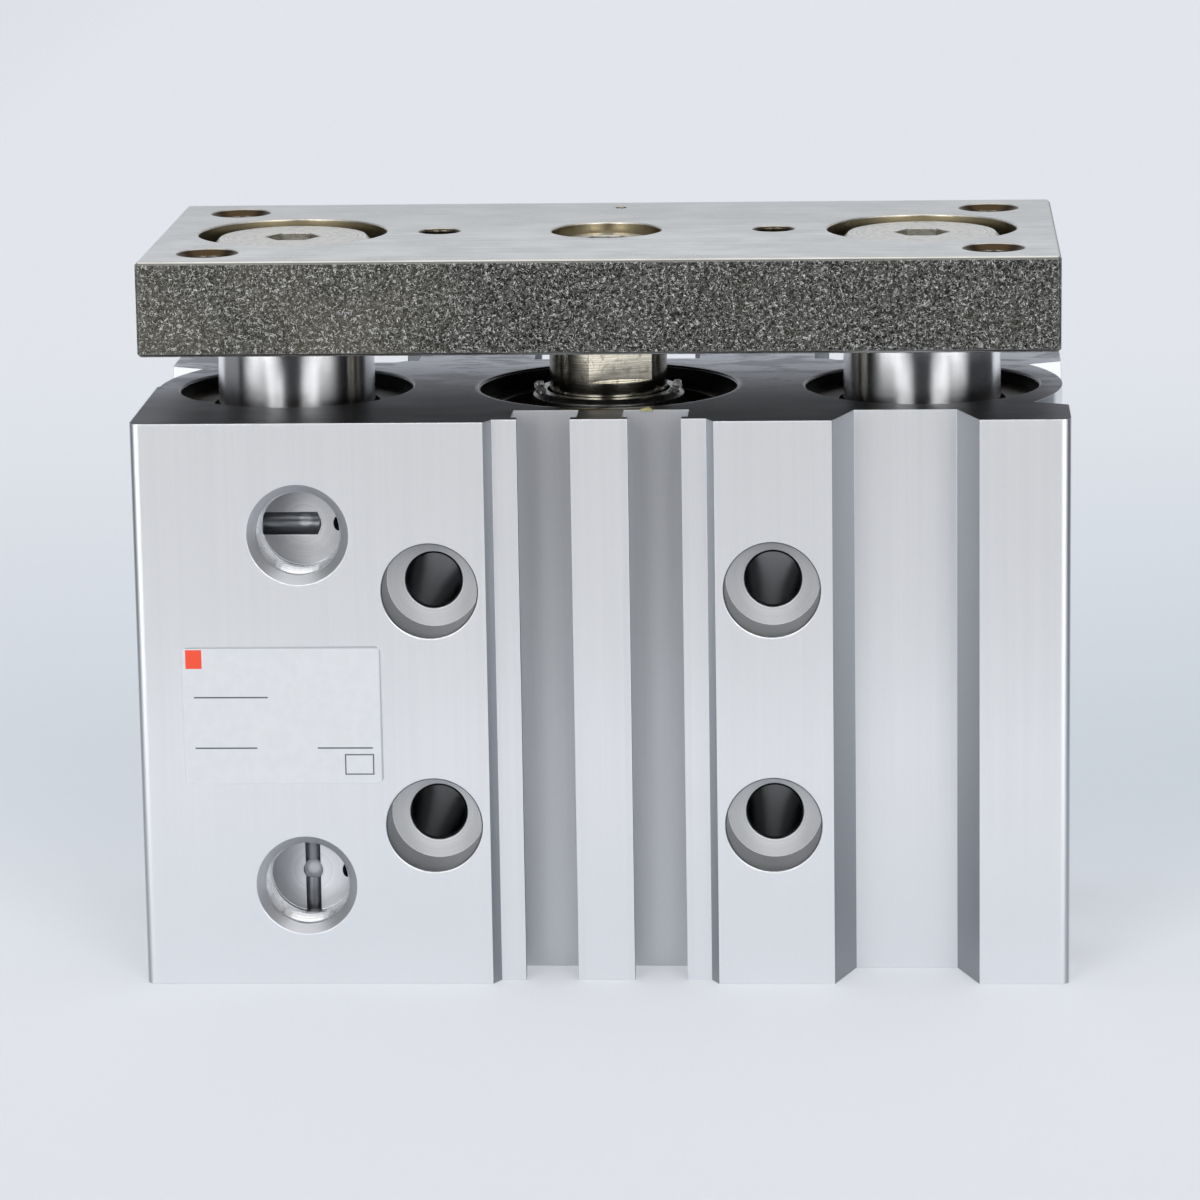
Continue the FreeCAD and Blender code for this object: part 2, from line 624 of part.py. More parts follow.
# ---- pieces fixed in the body ----
def o_ring_groove(outer, bottom):
    """Profile points of an O-ring groove, from its lower edge to its upper one."""
    floor = BORE_R - O_RING_SECTION - SEAT_FIT
    top = bottom + O_RING_SECTION + 2 * SEAT_FIT
    return [(outer, bottom), (floor, bottom), (floor, top), (outer, top)]


def o_ring(groove_bottom):
    """O-ring lying in its groove against the bore."""
    major = BORE_R - SEAT_FIT / 2 - O_RING_SECTION / 2
    middle = groove_bottom + O_RING_SECTION / 2 + SEAT_FIT
    section_r = (O_RING_SECTION - SEAT_FIT) / 2
    return turned(round_points(section_r, major, middle, 0, 360, ROUND_STEPS)[:-1])


ROD_O_RING_Z = ROD_STEP - O_RING_LAND - O_RING_SECTION - 2 * SEAT_FIT
HEAD_O_RING_Z = HEAD_STEP + (HEAD_COVER_TOP - HEAD_STEP - O_RING_SECTION) / 2 - SEAT_FIT
ROD_SEAL_TOP = ROD_COVER_TOP - ROD_SEAL_ROOF
ROD_SEAL_BOTTOM = ROD_SEAL_TOP - ROD_SEAL_LENGTH
ROD_SEAL_R = PISTON_ROD_DIA / 2 + ROD_SEAL_WIDTH
ROD_BUSH_R = PISTON_ROD_DIA / 2 + ROD_BUSH_WALL
ROD_BUSH_TOP = ROD_SEAL_BOTTOM - ROD_SEAL_ROOF
ROD_BUSH_BOTTOM = SPACER_TOP - SPACER_SPIGOT_LENGTH + ROD_BUSH_INSET
SKIRT_TOP = UPPER_PORT_Z + PASSAGE_DIA / 2 + SEAT_FIT


def rod_cover():
    """Cover that closes the rod side, with its boss, seal groove, skirt and spigot."""
    land = BORE_R - SEAT_FIT
    boss = BOSS_DIA / 2
    boss_top = BODY_HEIGHT - BOSS_BELOW_TOP
    throat = PISTON_ROD_DIA / 2 + PASSING_FIT
    spigot = SPACER_SPIGOT_DIA / 2 - SEAT_FIT
    spigot_bottom = SPACER_TOP - SPACER_SPIGOT_LENGTH
    skirt_top = min(SKIRT_TOP, ROD_O_RING_Z - O_RING_LAND)
    outside = [
        (spigot, spigot_bottom),
        (spigot, SPACER_TOP),
        (SKIRT_R, SPACER_TOP),
        (SKIRT_R, skirt_top),
        (land, skirt_top),
    ]
    outside += o_ring_groove(land, ROD_O_RING_Z)
    outside += [
        (land, ROD_STEP),
        (MOUTH_R - SEAT_FIT, ROD_STEP),
        (MOUTH_R - SEAT_FIT, ROD_COVER_TOP),
        (boss, ROD_COVER_TOP),
        (boss, boss_top - BOSS_CHAMFER),
        (boss - BOSS_CHAMFER, boss_top),
    ]
    inside = [
        (throat, boss_top),
        (throat, ROD_SEAL_TOP),
        (ROD_SEAL_R, ROD_SEAL_TOP),
        (ROD_SEAL_R, ROD_SEAL_BOTTOM),
        (throat, ROD_SEAL_BOTTOM),
        (throat, ROD_BUSH_TOP),
        (ROD_BUSH_R, ROD_BUSH_TOP),
        (ROD_BUSH_R, spigot_bottom),
    ]
    return turned(outside + inside)


def rod_bush():
    """Plain bush that guides the piston rod."""
    inner = PISTON_ROD_DIA / 2 + RUNNING_FIT
    return ring(ROD_BUSH_R - SEAT_FIT, inner, ROD_BUSH_BOTTOM, ROD_BUSH_TOP)


def rod_seal():
    """Lip seal round the piston rod, with its lips towards the bore."""
    inner = PISTON_ROD_DIA / 2 + RUNNING_FIT
    outer = ROD_SEAL_R - SEAT_FIT
    bottom = ROD_SEAL_BOTTOM + SEAT_FIT
    middle = (inner + outer) / 2
    lip = (outer - inner) / 4
    return turned([
        (inner, bottom),
        (inner, ROD_SEAL_TOP),
        (outer, ROD_SEAL_TOP),
        (outer, bottom),
        (middle + lip, bottom),
        (middle, bottom + SEAL_LIP_GROOVE),
        (middle - lip, bottom),
    ])


def stroke_spacer():
    """Tube on the rod cover's spigot that shortens the stroke."""
    seat = SPACER_SPIGOT_DIA / 2
    seat_floor = SPACER_TOP - SPACER_SPIGOT_LENGTH
    inner = PISTON_ROD_DIA / 2 + PASSING_FIT
    return turned([
        (inner, SPACER_BOTTOM),
        (SKIRT_R, SPACER_BOTTOM),
        (SKIRT_R, SPACER_TOP),
        (seat, SPACER_TOP),
        (seat, seat_floor),
        (inner, seat_floor),
    ])


def head_cover():
    """Flanged disc that closes the head side."""
    land = BORE_R - SEAT_FIT
    flange = MOUTH_R - SEAT_FIT
    profile = [
        (0.0, HEAD_COVER_BOTTOM),
        (flange - RECESS_CHAMFER, HEAD_COVER_BOTTOM),
        (flange, HEAD_COVER_BOTTOM + RECESS_CHAMFER),
        (flange, HEAD_STEP),
    ]
    profile += o_ring_groove(land, HEAD_O_RING_Z)
    profile.insert(4, (land, HEAD_STEP))
    profile += [(land, HEAD_COVER_TOP), (0.0, HEAD_COVER_TOP)]
    return turned(profile)


def head_bumper():
    """Rubber ring on the head cover."""
    return ring(BORE_R - BUMPER_MARGIN, HEAD_BUMPER_HOLE / 2, HEAD_COVER_TOP, HEAD_BUMPER_TOP)


def retaining_ring(bottom):
    """Internal circlip with two eyed lugs, opening to the back."""
    outer = RING_GROOVE_R - SEAT_FIT
    inner = RING_GROOVE_R - RING_GROOVE_STEP - CIRCLIP_WIDTH
    top = bottom + RING_GROOVE_WIDTH - 2 * SEAT_FIT
    lug_r = CIRCLIP_LUG_DIA / 2
    lug_x = CIRCLIP_GAP / 2 + lug_r
    lug_y = math.sqrt((MOUTH_R - lug_r) ** 2 - lug_x ** 2) - SEAT_FIT
    band = ring(outer, inner, bottom, top)
    gap = box((-lug_x, lug_x), (0.0, outer + MARGIN), (bottom - MARGIN, top + MARGIN))
    lugs = [cylinder(lug_r, bottom, top, side * lug_x, lug_y) for _, side in SIDES]
    clip = joined([band.cut(gap)] + lugs)
    for _, side in SIDES:
        eye = cylinder(CIRCLIP_HOLE_DIA / 2, bottom - MARGIN, top + MARGIN, side * lug_x, lug_y)
        clip = clip.cut(eye)
    return clip


def guide_bush(side, bottom, length):
    """Thin plain bush for a guide rod."""
    inner = GUIDE_ROD_DIA / 2 + RUNNING_FIT
    return ring(GUIDE_BORE_R - SEAT_FIT, inner, bottom, bottom + length, side * GUIDE_X)


def guide_felt(side):
    """Oiled felt ring that wipes a guide rod."""
    inner = GUIDE_ROD_DIA / 2 + RUNNING_FIT
    outer = GUIDE_RECESS_R - SEAT_FIT
    return ring(outer, inner, GUIDE_RECESS_FLOOR, FELT_TOP, side * GUIDE_X)


def felt_holder(side):
    """Pressed ring that keeps the felt in its recess."""
    inner = GUIDE_ROD_DIA / 2 + FELT_HOLDER_CLEARANCE
    outer = GUIDE_RECESS_R - SEAT_FIT
    return ring(outer, inner, FELT_TOP, FELT_TOP + FELT_HOLDER_THICKNESS, side * GUIDE_X)


def side_port_plug(z):
    """Hexagon socket plug in a side port."""
    outer_x = PLUG_RECESS - HALF_WIDTH
    inner_x = outer_x + PLUG_LENGTH
    plug = rod_between(PORT_CORE_R - SEAT_FIT, (outer_x, SIDE_PORT_Y, z), (inner_x, SIDE_PORT_Y, z))
    socket = hexagon(PLUG_SOCKET_ACROSS, -PLUG_SOCKET_DEPTH, MARGIN)
    socket.rotate(FreeCAD.Vector(0, 0, 0), FreeCAD.Vector(0, 1, 0), -90)
    socket.translate(FreeCAD.Vector(outer_x, SIDE_PORT_Y, z))
    return plug.cut(socket)


def passage_balls():
    """Steel balls pressed into the ends of the two drilled channels."""
    upper_r = UPPER_BALL_DIA / 2 - SEAT_FIT
    upper_x = BALL_SEAT_DEPTH - HALF_WIDTH - upper_r
    upper = ball(upper_r, upper_x, PORT_FLOOR_Y + CHANNEL_FLOOR_RISE, UPPER_PORT_Z)
    lower_r = LOWER_BALL_DIA / 2 - SEAT_FIT
    lower = ball(lower_r, PORT_X, PORT_FLOOR_Y, BALL_SEAT_DEPTH - lower_r)
    return Part.makeCompound([upper, lower])


# ---- moving pieces ----
def plate():
    """Tooling plate with counterbores for its three screws."""
    half_x, half_y = HALF_PLATE_WIDTH, HALF_PLATE_DEPTH
    slab = box((-half_x, half_x), (-half_y, half_y), (PLATE_BOTTOM, PLATE_TOP))
    slab = slab.makeChamfer(PLATE_EDGE_CHAMFER, slab.Edges)
    holes = []
    for _, side in SIDES:
        holes.append(screw_seat(
            side * GUIDE_X, GUIDE_COUNTERBORE_R, GUIDE_BOLT_HOLE_DIA / 2,
            GUIDE_BOLT_SUNK + GUIDE_BOLT_HEAD_HEIGHT,
        ))
        holes.append(through_hole(side * DOWEL_SPACING / 2, 0.0, DOWEL_DIA / 2, DOWEL_CHAMFER))
        for face in (-1, 1):
            x = side * (half_x - TOOL_HOLE_FROM_END)
            y = face * (half_y - TOOL_HOLE_FROM_EDGE)
            chamfer = (M6_MOUTH_DIA - M6_CORE_DIA) / 2
            holes.append(through_hole(x, y, M6_CORE_DIA / 2, chamfer))
    holes.append(screw_seat(
        0.0, PLATE_HEAD_R + PLATE_BOLT_HEAD_ROOM, PLATE_BOLT_HOLE_DIA / 2,
        PLATE_BOLT_SUNK + PLATE_BOLT_HEAD_HEIGHT,
    ))
    holes.append(cylinder(
        PUNCH_MARK_DIA / 2, PLATE_TOP - PUNCH_MARK_DEPTH, PLATE_TOP + MARGIN,
        PUNCH_MARK_X, half_y - PUNCH_MARK_FROM_BACK,
    ))
    for hole in holes:
        slab = slab.cut(hole)
    return slab


def through_hole(x, y, radius, chamfer):
    """Hole through the plate with a chamfer at both mouths."""
    return turned([
        (0.0, PLATE_BOTTOM - MARGIN),
        (radius + chamfer + MARGIN, PLATE_BOTTOM - MARGIN),
        (radius, PLATE_BOTTOM + chamfer),
        (radius, PLATE_TOP - chamfer),
        (radius + chamfer + MARGIN, PLATE_TOP + MARGIN),
        (0.0, PLATE_TOP + MARGIN),
    ], x, y)


def screw_seat(x, seat_radius, hole_radius, depth):
    """Counterbored screw hole in the plate."""
    floor = PLATE_TOP - depth
    return turned([
        (0.0, PLATE_BOTTOM - MARGIN),
        (hole_radius, PLATE_BOTTOM - MARGIN),
        (hole_radius, floor),
        (seat_radius, floor),
        (seat_radius, PLATE_TOP - RIM_CHAMFER),
        (seat_radius + RIM_CHAMFER + MARGIN, PLATE_TOP + MARGIN),
        (0.0, PLATE_TOP + MARGIN),
    ], x)


def socket_screw(x, head_radius, head_height, core_radius, sunk, reach):
    """Screw through the plate into a rod, with a hexagon socket in its head."""
    top = PLATE_TOP - sunk
    seat = top - head_height
    screw = turned([
        (0.0, PLATE_BOTTOM - reach),
        (core_radius, PLATE_BOTTOM - reach),
        (core_radius, seat),
        (head_radius, seat),
        (head_radius, top - HEAD_EDGE_CHAMFER),
        (head_radius - HEAD_EDGE_CHAMFER, top),
        (0.0, top),
    ], x)
    return screw.cut(hexagon(SOCKET_ACROSS, top - SOCKET_DEPTH, top + MARGIN, x))


def guide_bolt(side):
    """Flat-headed screw that holds a guide rod to the plate."""
    return socket_screw(
        side * GUIDE_X, GUIDE_HEAD_R, GUIDE_BOLT_HEAD_HEIGHT,
        GUIDE_BOLT_THREAD_CORE / 2 - SEAT_FIT, GUIDE_BOLT_SUNK, GUIDE_BOLT_REACH,
    )


def plate_bolt():
    """Cap screw that holds the piston rod to the plate."""
    return socket_screw(
        0.0, PLATE_HEAD_R, PLATE_BOLT_HEAD_HEIGHT,
        M6_CORE_DIA / 2 - SEAT_FIT, PLATE_BOLT_SUNK, PLATE_BOLT_REACH,
    )


def guide_rod(side):
    """Hard chromed guide rod, tapped at its top end."""
    radius = GUIDE_ROD_DIA / 2
    tap = GUIDE_BOLT_THREAD_CORE / 2
    tap_bottom = PLATE_BOTTOM - GUIDE_BOLT_REACH - TAPPED_EXTRA_DEPTH
    return turned([
        (0.0, GUIDE_ROD_INSET),
        (radius - GUIDE_ROD_CHAMFER, GUIDE_ROD_INSET),
        (radius, GUIDE_ROD_INSET + GUIDE_ROD_CHAMFER),
        (radius, PLATE_BOTTOM),
        (tap, PLATE_BOTTOM),
        (tap, tap_bottom),
        (0.0, tap_bottom),
    ], side * GUIDE_X)


def piston_rod():
    """Piston rod with its spigot, wrench flats and tapped end."""
    radius = PISTON_ROD_DIA / 2
    spigot = ROD_SPIGOT_DIA / 2 - SEAT_FIT
    tap = M6_CORE_DIA / 2
    tap_bottom = PLATE_BOTTOM - PLATE_BOLT_REACH - TAPPED_EXTRA_DEPTH
    rod = turned([
        (0.0, PISTON_BOTTOM + ROD_SPIGOT_RECESS),
        (spigot, PISTON_BOTTOM + ROD_SPIGOT_RECESS),
        (spigot, PISTON_TOP),
        (radius, PISTON_TOP),
        (radius, PLATE_BOTTOM),
        (tap, PLATE_BOTTOM),
        (tap, tap_bottom),
        (0.0, tap_bottom),
    ])
    flats_z = (PLATE_BOTTOM - ROD_FLATS_LENGTH, PLATE_BOTTOM + MARGIN)
    for face in (-1, 1):
        near, far = ROD_FLATS_ACROSS / 2, radius + MARGIN
        span = (near, far) if face > 0 else (-far, -near)
        flat = box((-radius - MARGIN, radius + MARGIN), span, flats_z)
        flat.rotate(FreeCAD.Vector(0, 0, 0), FreeCAD.Vector(0, 0, 1), ROD_FLATS_TURN)
        rod = rod.cut(flat)
    return rod


PISTON_RELIEF_TOP = LOWER_PORT_HEIGHT + PASSAGE_DIA / 2 + RECESS_CHAMFER
MAGNET_TOP = PISTON_TOP - PISTON_TOP_LAND
MAGNET_BOTTOM = MAGNET_TOP - MAGNET_WIDTH
SEAL_TOP = MAGNET_BOTTOM - PISTON_MIDDLE_LAND
SEAL_BOTTOM = SEAL_TOP - PISTON_SEAL_WIDTH
PISTON_R = BORE_R - PISTON_FIT


def piston():
    """Piston with its air relief, seal groove and magnet groove."""
    seal_floor = BORE_R - PISTON_SEAL_DEPTH
    magnet_floor = BORE_R - MAGNET_DEPTH
    hole = ROD_SPIGOT_DIA / 2
    return turned([
        (hole, PISTON_BOTTOM),
        (SKIRT_R, PISTON_BOTTOM),
        (SKIRT_R, PISTON_RELIEF_TOP),
        (PISTON_R, PISTON_RELIEF_TOP),
        (PISTON_R, SEAL_BOTTOM),
        (seal_floor, SEAL_BOTTOM),
        (seal_floor, SEAL_TOP),
        (PISTON_R, SEAL_TOP),
        (PISTON_R, MAGNET_BOTTOM),
        (magnet_floor, MAGNET_BOTTOM),
        (magnet_floor, MAGNET_TOP),
        (PISTON_R, MAGNET_TOP),
        (PISTON_R, PISTON_TOP),
        (hole, PISTON_TOP),
    ])


def piston_seal():
    """Rubber seal in the piston, with a waist between its two lips."""
    outer = BORE_R - RUNNING_FIT
    inner = BORE_R - PISTON_SEAL_DEPTH + SEAT_FIT
    bottom, top = SEAL_BOTTOM + SEAT_FIT, SEAL_TOP - SEAT_FIT
    quarter = (top - bottom) / 4
    waist = outer - PISTON_SEAL_WAIST
    return turned([
        (inner, bottom),
        (outer, bottom),
        (outer, bottom + quarter),
        (waist, bottom + 2 * quarter),
        (outer, top - quarter),
        (outer, top),
        (inner, top),
    ])


def piston_magnet():
    """Magnet ring that the sensors in the grooves detect."""
    inner = BORE_R - MAGNET_DEPTH + SEAT_FIT
    outer = PISTON_R - PISTON_FIT
    return ring(outer, inner, MAGNET_BOTTOM + SEAT_FIT, MAGNET_TOP - SEAT_FIT)


def rod_bumper():
    """Rubber ring on the piston's rod side."""
    inner = PISTON_ROD_DIA / 2 + SEAT_FIT
    return ring(BORE_R - BUMPER_MARGIN, inner, PISTON_TOP, ROD_BUMPER_TOP)


def all_nodes():
    """Every piece by its node name."""
    nodes = {
        "body": body(),
        "rod_cover": rod_cover(),
        "rod_bush": rod_bush(),
        "rod_seal": rod_seal(),
        "rod_cover_o_ring": o_ring(ROD_O_RING_Z),
        "rod_retaining_ring": retaining_ring(ROD_COVER_TOP + SEAT_FIT),
        "stroke_spacer": stroke_spacer(),
        "head_cover": head_cover(),
        "head_cover_o_ring": o_ring(HEAD_O_RING_Z),
        "head_retaining_ring": retaining_ring(HEAD_RING_BOTTOM + SEAT_FIT),
        "head_bumper": head_bumper(),
        "upper_side_port_plug": side_port_plug(UPPER_PORT_Z),
        "lower_side_port_plug": side_port_plug(LOWER_PORT_HEIGHT),
        "passage_balls": passage_balls(),
        "plate": plate(),
        "plate_bolt": plate_bolt(),
        "piston_rod": piston_rod(),
        "piston": piston(),
        "piston_seal": piston_seal(),
        "piston_magnet": piston_magnet(),
        "rod_bumper": rod_bumper(),
    }
    upper_bottom = GUIDE_RECESS_FLOOR - UPPER_BUSH_LENGTH
    for name, side in SIDES:
        nodes["upper_guide_bush_" + name] = guide_bush(side, upper_bottom, UPPER_BUSH_LENGTH)
        nodes["lower_guide_bush_" + name] = guide_bush(side, LOWER_BUSH_BOTTOM, LOWER_BUSH_LENGTH)
        nodes["guide_felt_" + name] = guide_felt(side)
        nodes["felt_holder_" + name] = felt_holder(side)
        nodes["guide_rod_" + name] = guide_rod(side)
        nodes["guide_bolt_" + name] = guide_bolt(side)
    return nodes


def main():
    os.makedirs("parts", exist_ok=True)
    for name, shape in all_nodes().items():
        solids = len(shape.Solids)
        print(f"{name}: {solids} solid(s), {shape.Volume:.1f} mm3, valid {shape.isValid()}")
        shape.exportStep(f"parts/{name}.step")


main()
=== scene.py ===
import json
import math

import bpy
from mathutils import Matrix, Vector, noise


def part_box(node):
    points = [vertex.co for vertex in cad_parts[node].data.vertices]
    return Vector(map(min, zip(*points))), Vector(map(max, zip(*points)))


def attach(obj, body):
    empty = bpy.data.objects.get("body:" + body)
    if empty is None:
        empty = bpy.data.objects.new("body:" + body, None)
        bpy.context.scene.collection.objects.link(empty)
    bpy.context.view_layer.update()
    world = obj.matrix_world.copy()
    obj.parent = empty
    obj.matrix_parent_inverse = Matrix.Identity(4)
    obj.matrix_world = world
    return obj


# The looks of a guided pneumatic cylinder: its finishes, threads, label and grease.
# Objects are in metres, in the part's own frame: +Z up, the front face towards -Y.
# Shader coordinates are in millimetres, so that grain sizes and masks read as real sizes.

MM = 0.001

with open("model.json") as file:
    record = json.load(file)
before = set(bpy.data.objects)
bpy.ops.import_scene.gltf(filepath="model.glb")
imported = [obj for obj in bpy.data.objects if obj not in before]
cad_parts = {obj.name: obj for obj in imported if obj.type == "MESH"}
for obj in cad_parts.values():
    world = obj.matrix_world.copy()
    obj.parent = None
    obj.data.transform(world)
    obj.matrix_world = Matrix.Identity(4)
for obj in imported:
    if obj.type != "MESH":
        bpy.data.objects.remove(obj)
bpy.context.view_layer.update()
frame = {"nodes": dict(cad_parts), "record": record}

MOUNTS = {mount["name"]: mount for mount in frame["record"]["mounts"]}


def mount_place(name):
    """A mount's centre, in millimetres."""
    return [value / MM for value in MOUNTS[name]["pos_m"]]


def box_mm(node):
    """A node's lowest and highest corners, in millimetres."""
    low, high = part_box(node)
    return low / MM, high / MM


def guide_rod_x():
    """How far each guide rod's axis lies from the middle, in millimetres."""
    low, high = box_mm("guide_rod_right")
    return (low.x + high.x) / 2


# ---------------------------------------------------------------- shader helpers


class Shade:
    """Adds nodes to one shader tree. Any value may be a number, a colour or a node's output."""

    def __init__(self, tree):
        self.tree = tree

    def give(self, socket, value):
        if isinstance(value, bpy.types.NodeSocket):
            self.tree.links.new(value, socket)
        else:
            socket.default_value = value

    def add(self, kind, inputs=None, **settings):
        node = self.tree.nodes.new("ShaderNode" + kind)
        for name, value in settings.items():
            setattr(node, name, value)
        for name, value in (inputs or {}).items():
            self.give(node.inputs[name], value)
        return node

    def maths(self, operation, *values):
        return self.add("Math", dict(enumerate(values)), operation=operation).outputs[0]

    def plus(self, *values):
        total = values[0]
        for value in values[1:]:
            total = self.maths("ADD", total, value)
        return total

    def times(self, *values):
        total = values[0]
        for value in values[1:]:
            total = self.maths("MULTIPLY", total, value)
        return total

    def most(self, *values):
        total = values[0]
        for value in values[1:]:
            total = self.maths("MAXIMUM", total, value)
        return total

    def away(self, value, centre):
        """How far a value lies from a centre."""
        return self.maths("ABSOLUTE", self.maths("SUBTRACT", value, centre))

    def near_pair(self, value, middle, spacing):
        """How far a value lies from the nearer of two places, spaced about a middle."""
        return self.away(self.away(value, middle), spacing / 2)

    def invert(self, value):
        return self.maths("SUBTRACT", 1.0, value)

    def reach(self, a, b):
        """The length of the vector (a, b)."""
        squares = self.plus(self.times(a, a), self.times(b, b))
        return self.maths("SQRT", squares)

    def smooth(self, value, start, end, low=0.0, high=1.0):
        """Goes smoothly from low to high while value goes from start to end."""
        if start > end:
            start, end, low, high = end, start, high, low
        inputs = {
            "Value": value,
            "From Min": start,
            "From Max": end,
            "To Min": low,
            "To Max": high,
        }
        return self.add("MapRange", inputs, interpolation_type="SMOOTHSTEP").outputs[0]

    def within(self, value, edge, blur):
        """1 where value is under edge, 0 over it."""
        return self.smooth(value, edge, edge + blur, 1.0, 0.0)

    def between(self, value, start, end, blur):
        """1 where value lies from start to end."""
        rise = self.smooth(value, start - blur, start + blur)
        fall = self.smooth(value, end - blur, end + blur, 1.0, 0.0)
        return self.times(rise, fall)

    def blend(self, factor, first, second):
        """A colour that goes from first to second."""
        node = self.add("Mix", {0: factor, 6: first, 7: second}, data_type="RGBA")
        return node.outputs[2]

    def lerp(self, factor, first, second):
        """A number that goes from first to second."""
        return self.add("Mix", {0: factor, 2: first, 3: second}, data_type="FLOAT").outputs[0]

    def noise(self, vector, scale, detail=2.0, roughness=0.5, distortion=0.0):
        inputs = {
            "Vector": vector,
            "Scale": scale,
            "Detail": detail,
            "Roughness": roughness,
            "Distortion": distortion,
        }
        return self.add("TexNoise", inputs).outputs[0]

    def noise_along(self, value, scale, detail=2.0, roughness=0.5):
        """Noise that changes along one number only, such as turning marks."""
        inputs = {"W": value, "Scale": scale, "Detail": detail, "Roughness": roughness}
        return self.add("TexNoise", inputs, noise_dimensions="1D").outputs[0]

    def stretched(self, vector, x, y, z):
        inputs = {0: vector, 1: (x, y, z)}
        return self.add("VectorMath", inputs, operation="MULTIPLY").outputs[0]

    def split(self, vector):
        return self.add("SeparateXYZ", {0: vector}).outputs[:3]


def rgb(red, green, blue):
    """A linear colour from its 0 to 255 sRGB values."""
    return tuple(from_srgb(value / 255) for value in (red, green, blue)) + (1.0,)


def from_srgb(value):
    if value <= 0.04045:
        return value / 12.92
    return ((value + 0.055) / 1.055) ** 2.4


class Finish(Shade):
    """One material, with its principled shader and its coordinates in millimetres."""

    def __init__(self, name):
        self.material = bpy.data.materials.new(name)
        self.material.use_nodes = True
        super().__init__(self.material.node_tree)
        self.tree.nodes.clear()
        self.shader = self.add("BsdfPrincipled")
        output = self.add("OutputMaterial")
        self.tree.links.new(self.shader.outputs[0], output.inputs[0])
        place = self.add("TexCoord")
        self.at = self.stretched(place.outputs["Object"], 1 / MM, 1 / MM, 1 / MM)
        self.x, self.y, self.z = self.split(self.at)
        self.rounded = None

    def facing(self):
        """How far a surface faces X, Y and Z, each from 0 to 1."""
        flat = self.add("NewGeometry").outputs["True Normal"]
        return [self.maths("ABSOLUTE", part) for part in self.split(flat)]

    def set(self, **values):
        """Sets the shader's inputs: base_color is Base Color, and so on."""
        for name, value in values.items():
            socket = name.replace("_", " ").title().replace("Ior", "IOR")
            self.give(self.shader.inputs[socket], value)

    def relief(self, height, depth):
        """Bumps the surface: height from 0 to 1 over a depth in millimetres."""
        inputs = {"Height": height, "Strength": 1.0, "Distance": depth * MM}
        if self.rounded:
            inputs["Normal"] = self.rounded
        bump = self.add("Bump", inputs)
        self.give(self.shader.inputs["Normal"], bump.outputs[0])

    def round_edges(self, radius):
        """Rounds the edges to a radius in the shading, and returns 1 on them and 0 elsewhere."""
        self.rounded = self.add("Bevel", {"Radius": radius * MM}, samples=4).outputs[0]
        flat = self.add("NewGeometry").outputs["Normal"]
        inputs = {0: self.rounded, 1: flat}
        along = self.add("VectorMath", inputs, operation="DOT_PRODUCT").outputs[1]
        return self.smooth(along, 0.995, 0.86)


# ---------------------------------------------------------------- finishes


# Where the masks of the body's cut features end, in millimetres: each just past its feature.
THROUGH_HOLE_R = 2.72
COUNTERBORE_R = 4.8
COUNTERBORE_FLOOR_Y = -14.0
PORT_R = 4.3
PORT_RIM_R = 5.08
PORT_FLOOR_Y = -14.9
LAST_TURN_FRONT_Y = -15.7
LAST_TURN_BACK_Y = -15.06
CHANNEL_FLOOR_Y = -12.6
PASSAGE_FROM_PORT = 3.5
PASSAGE_R = 0.74
GUIDE_RECESS_R = 11.95
BORE_MOUTH_R = 13.65
SENSOR_GROOVE_HALF_WIDTH = 3.3


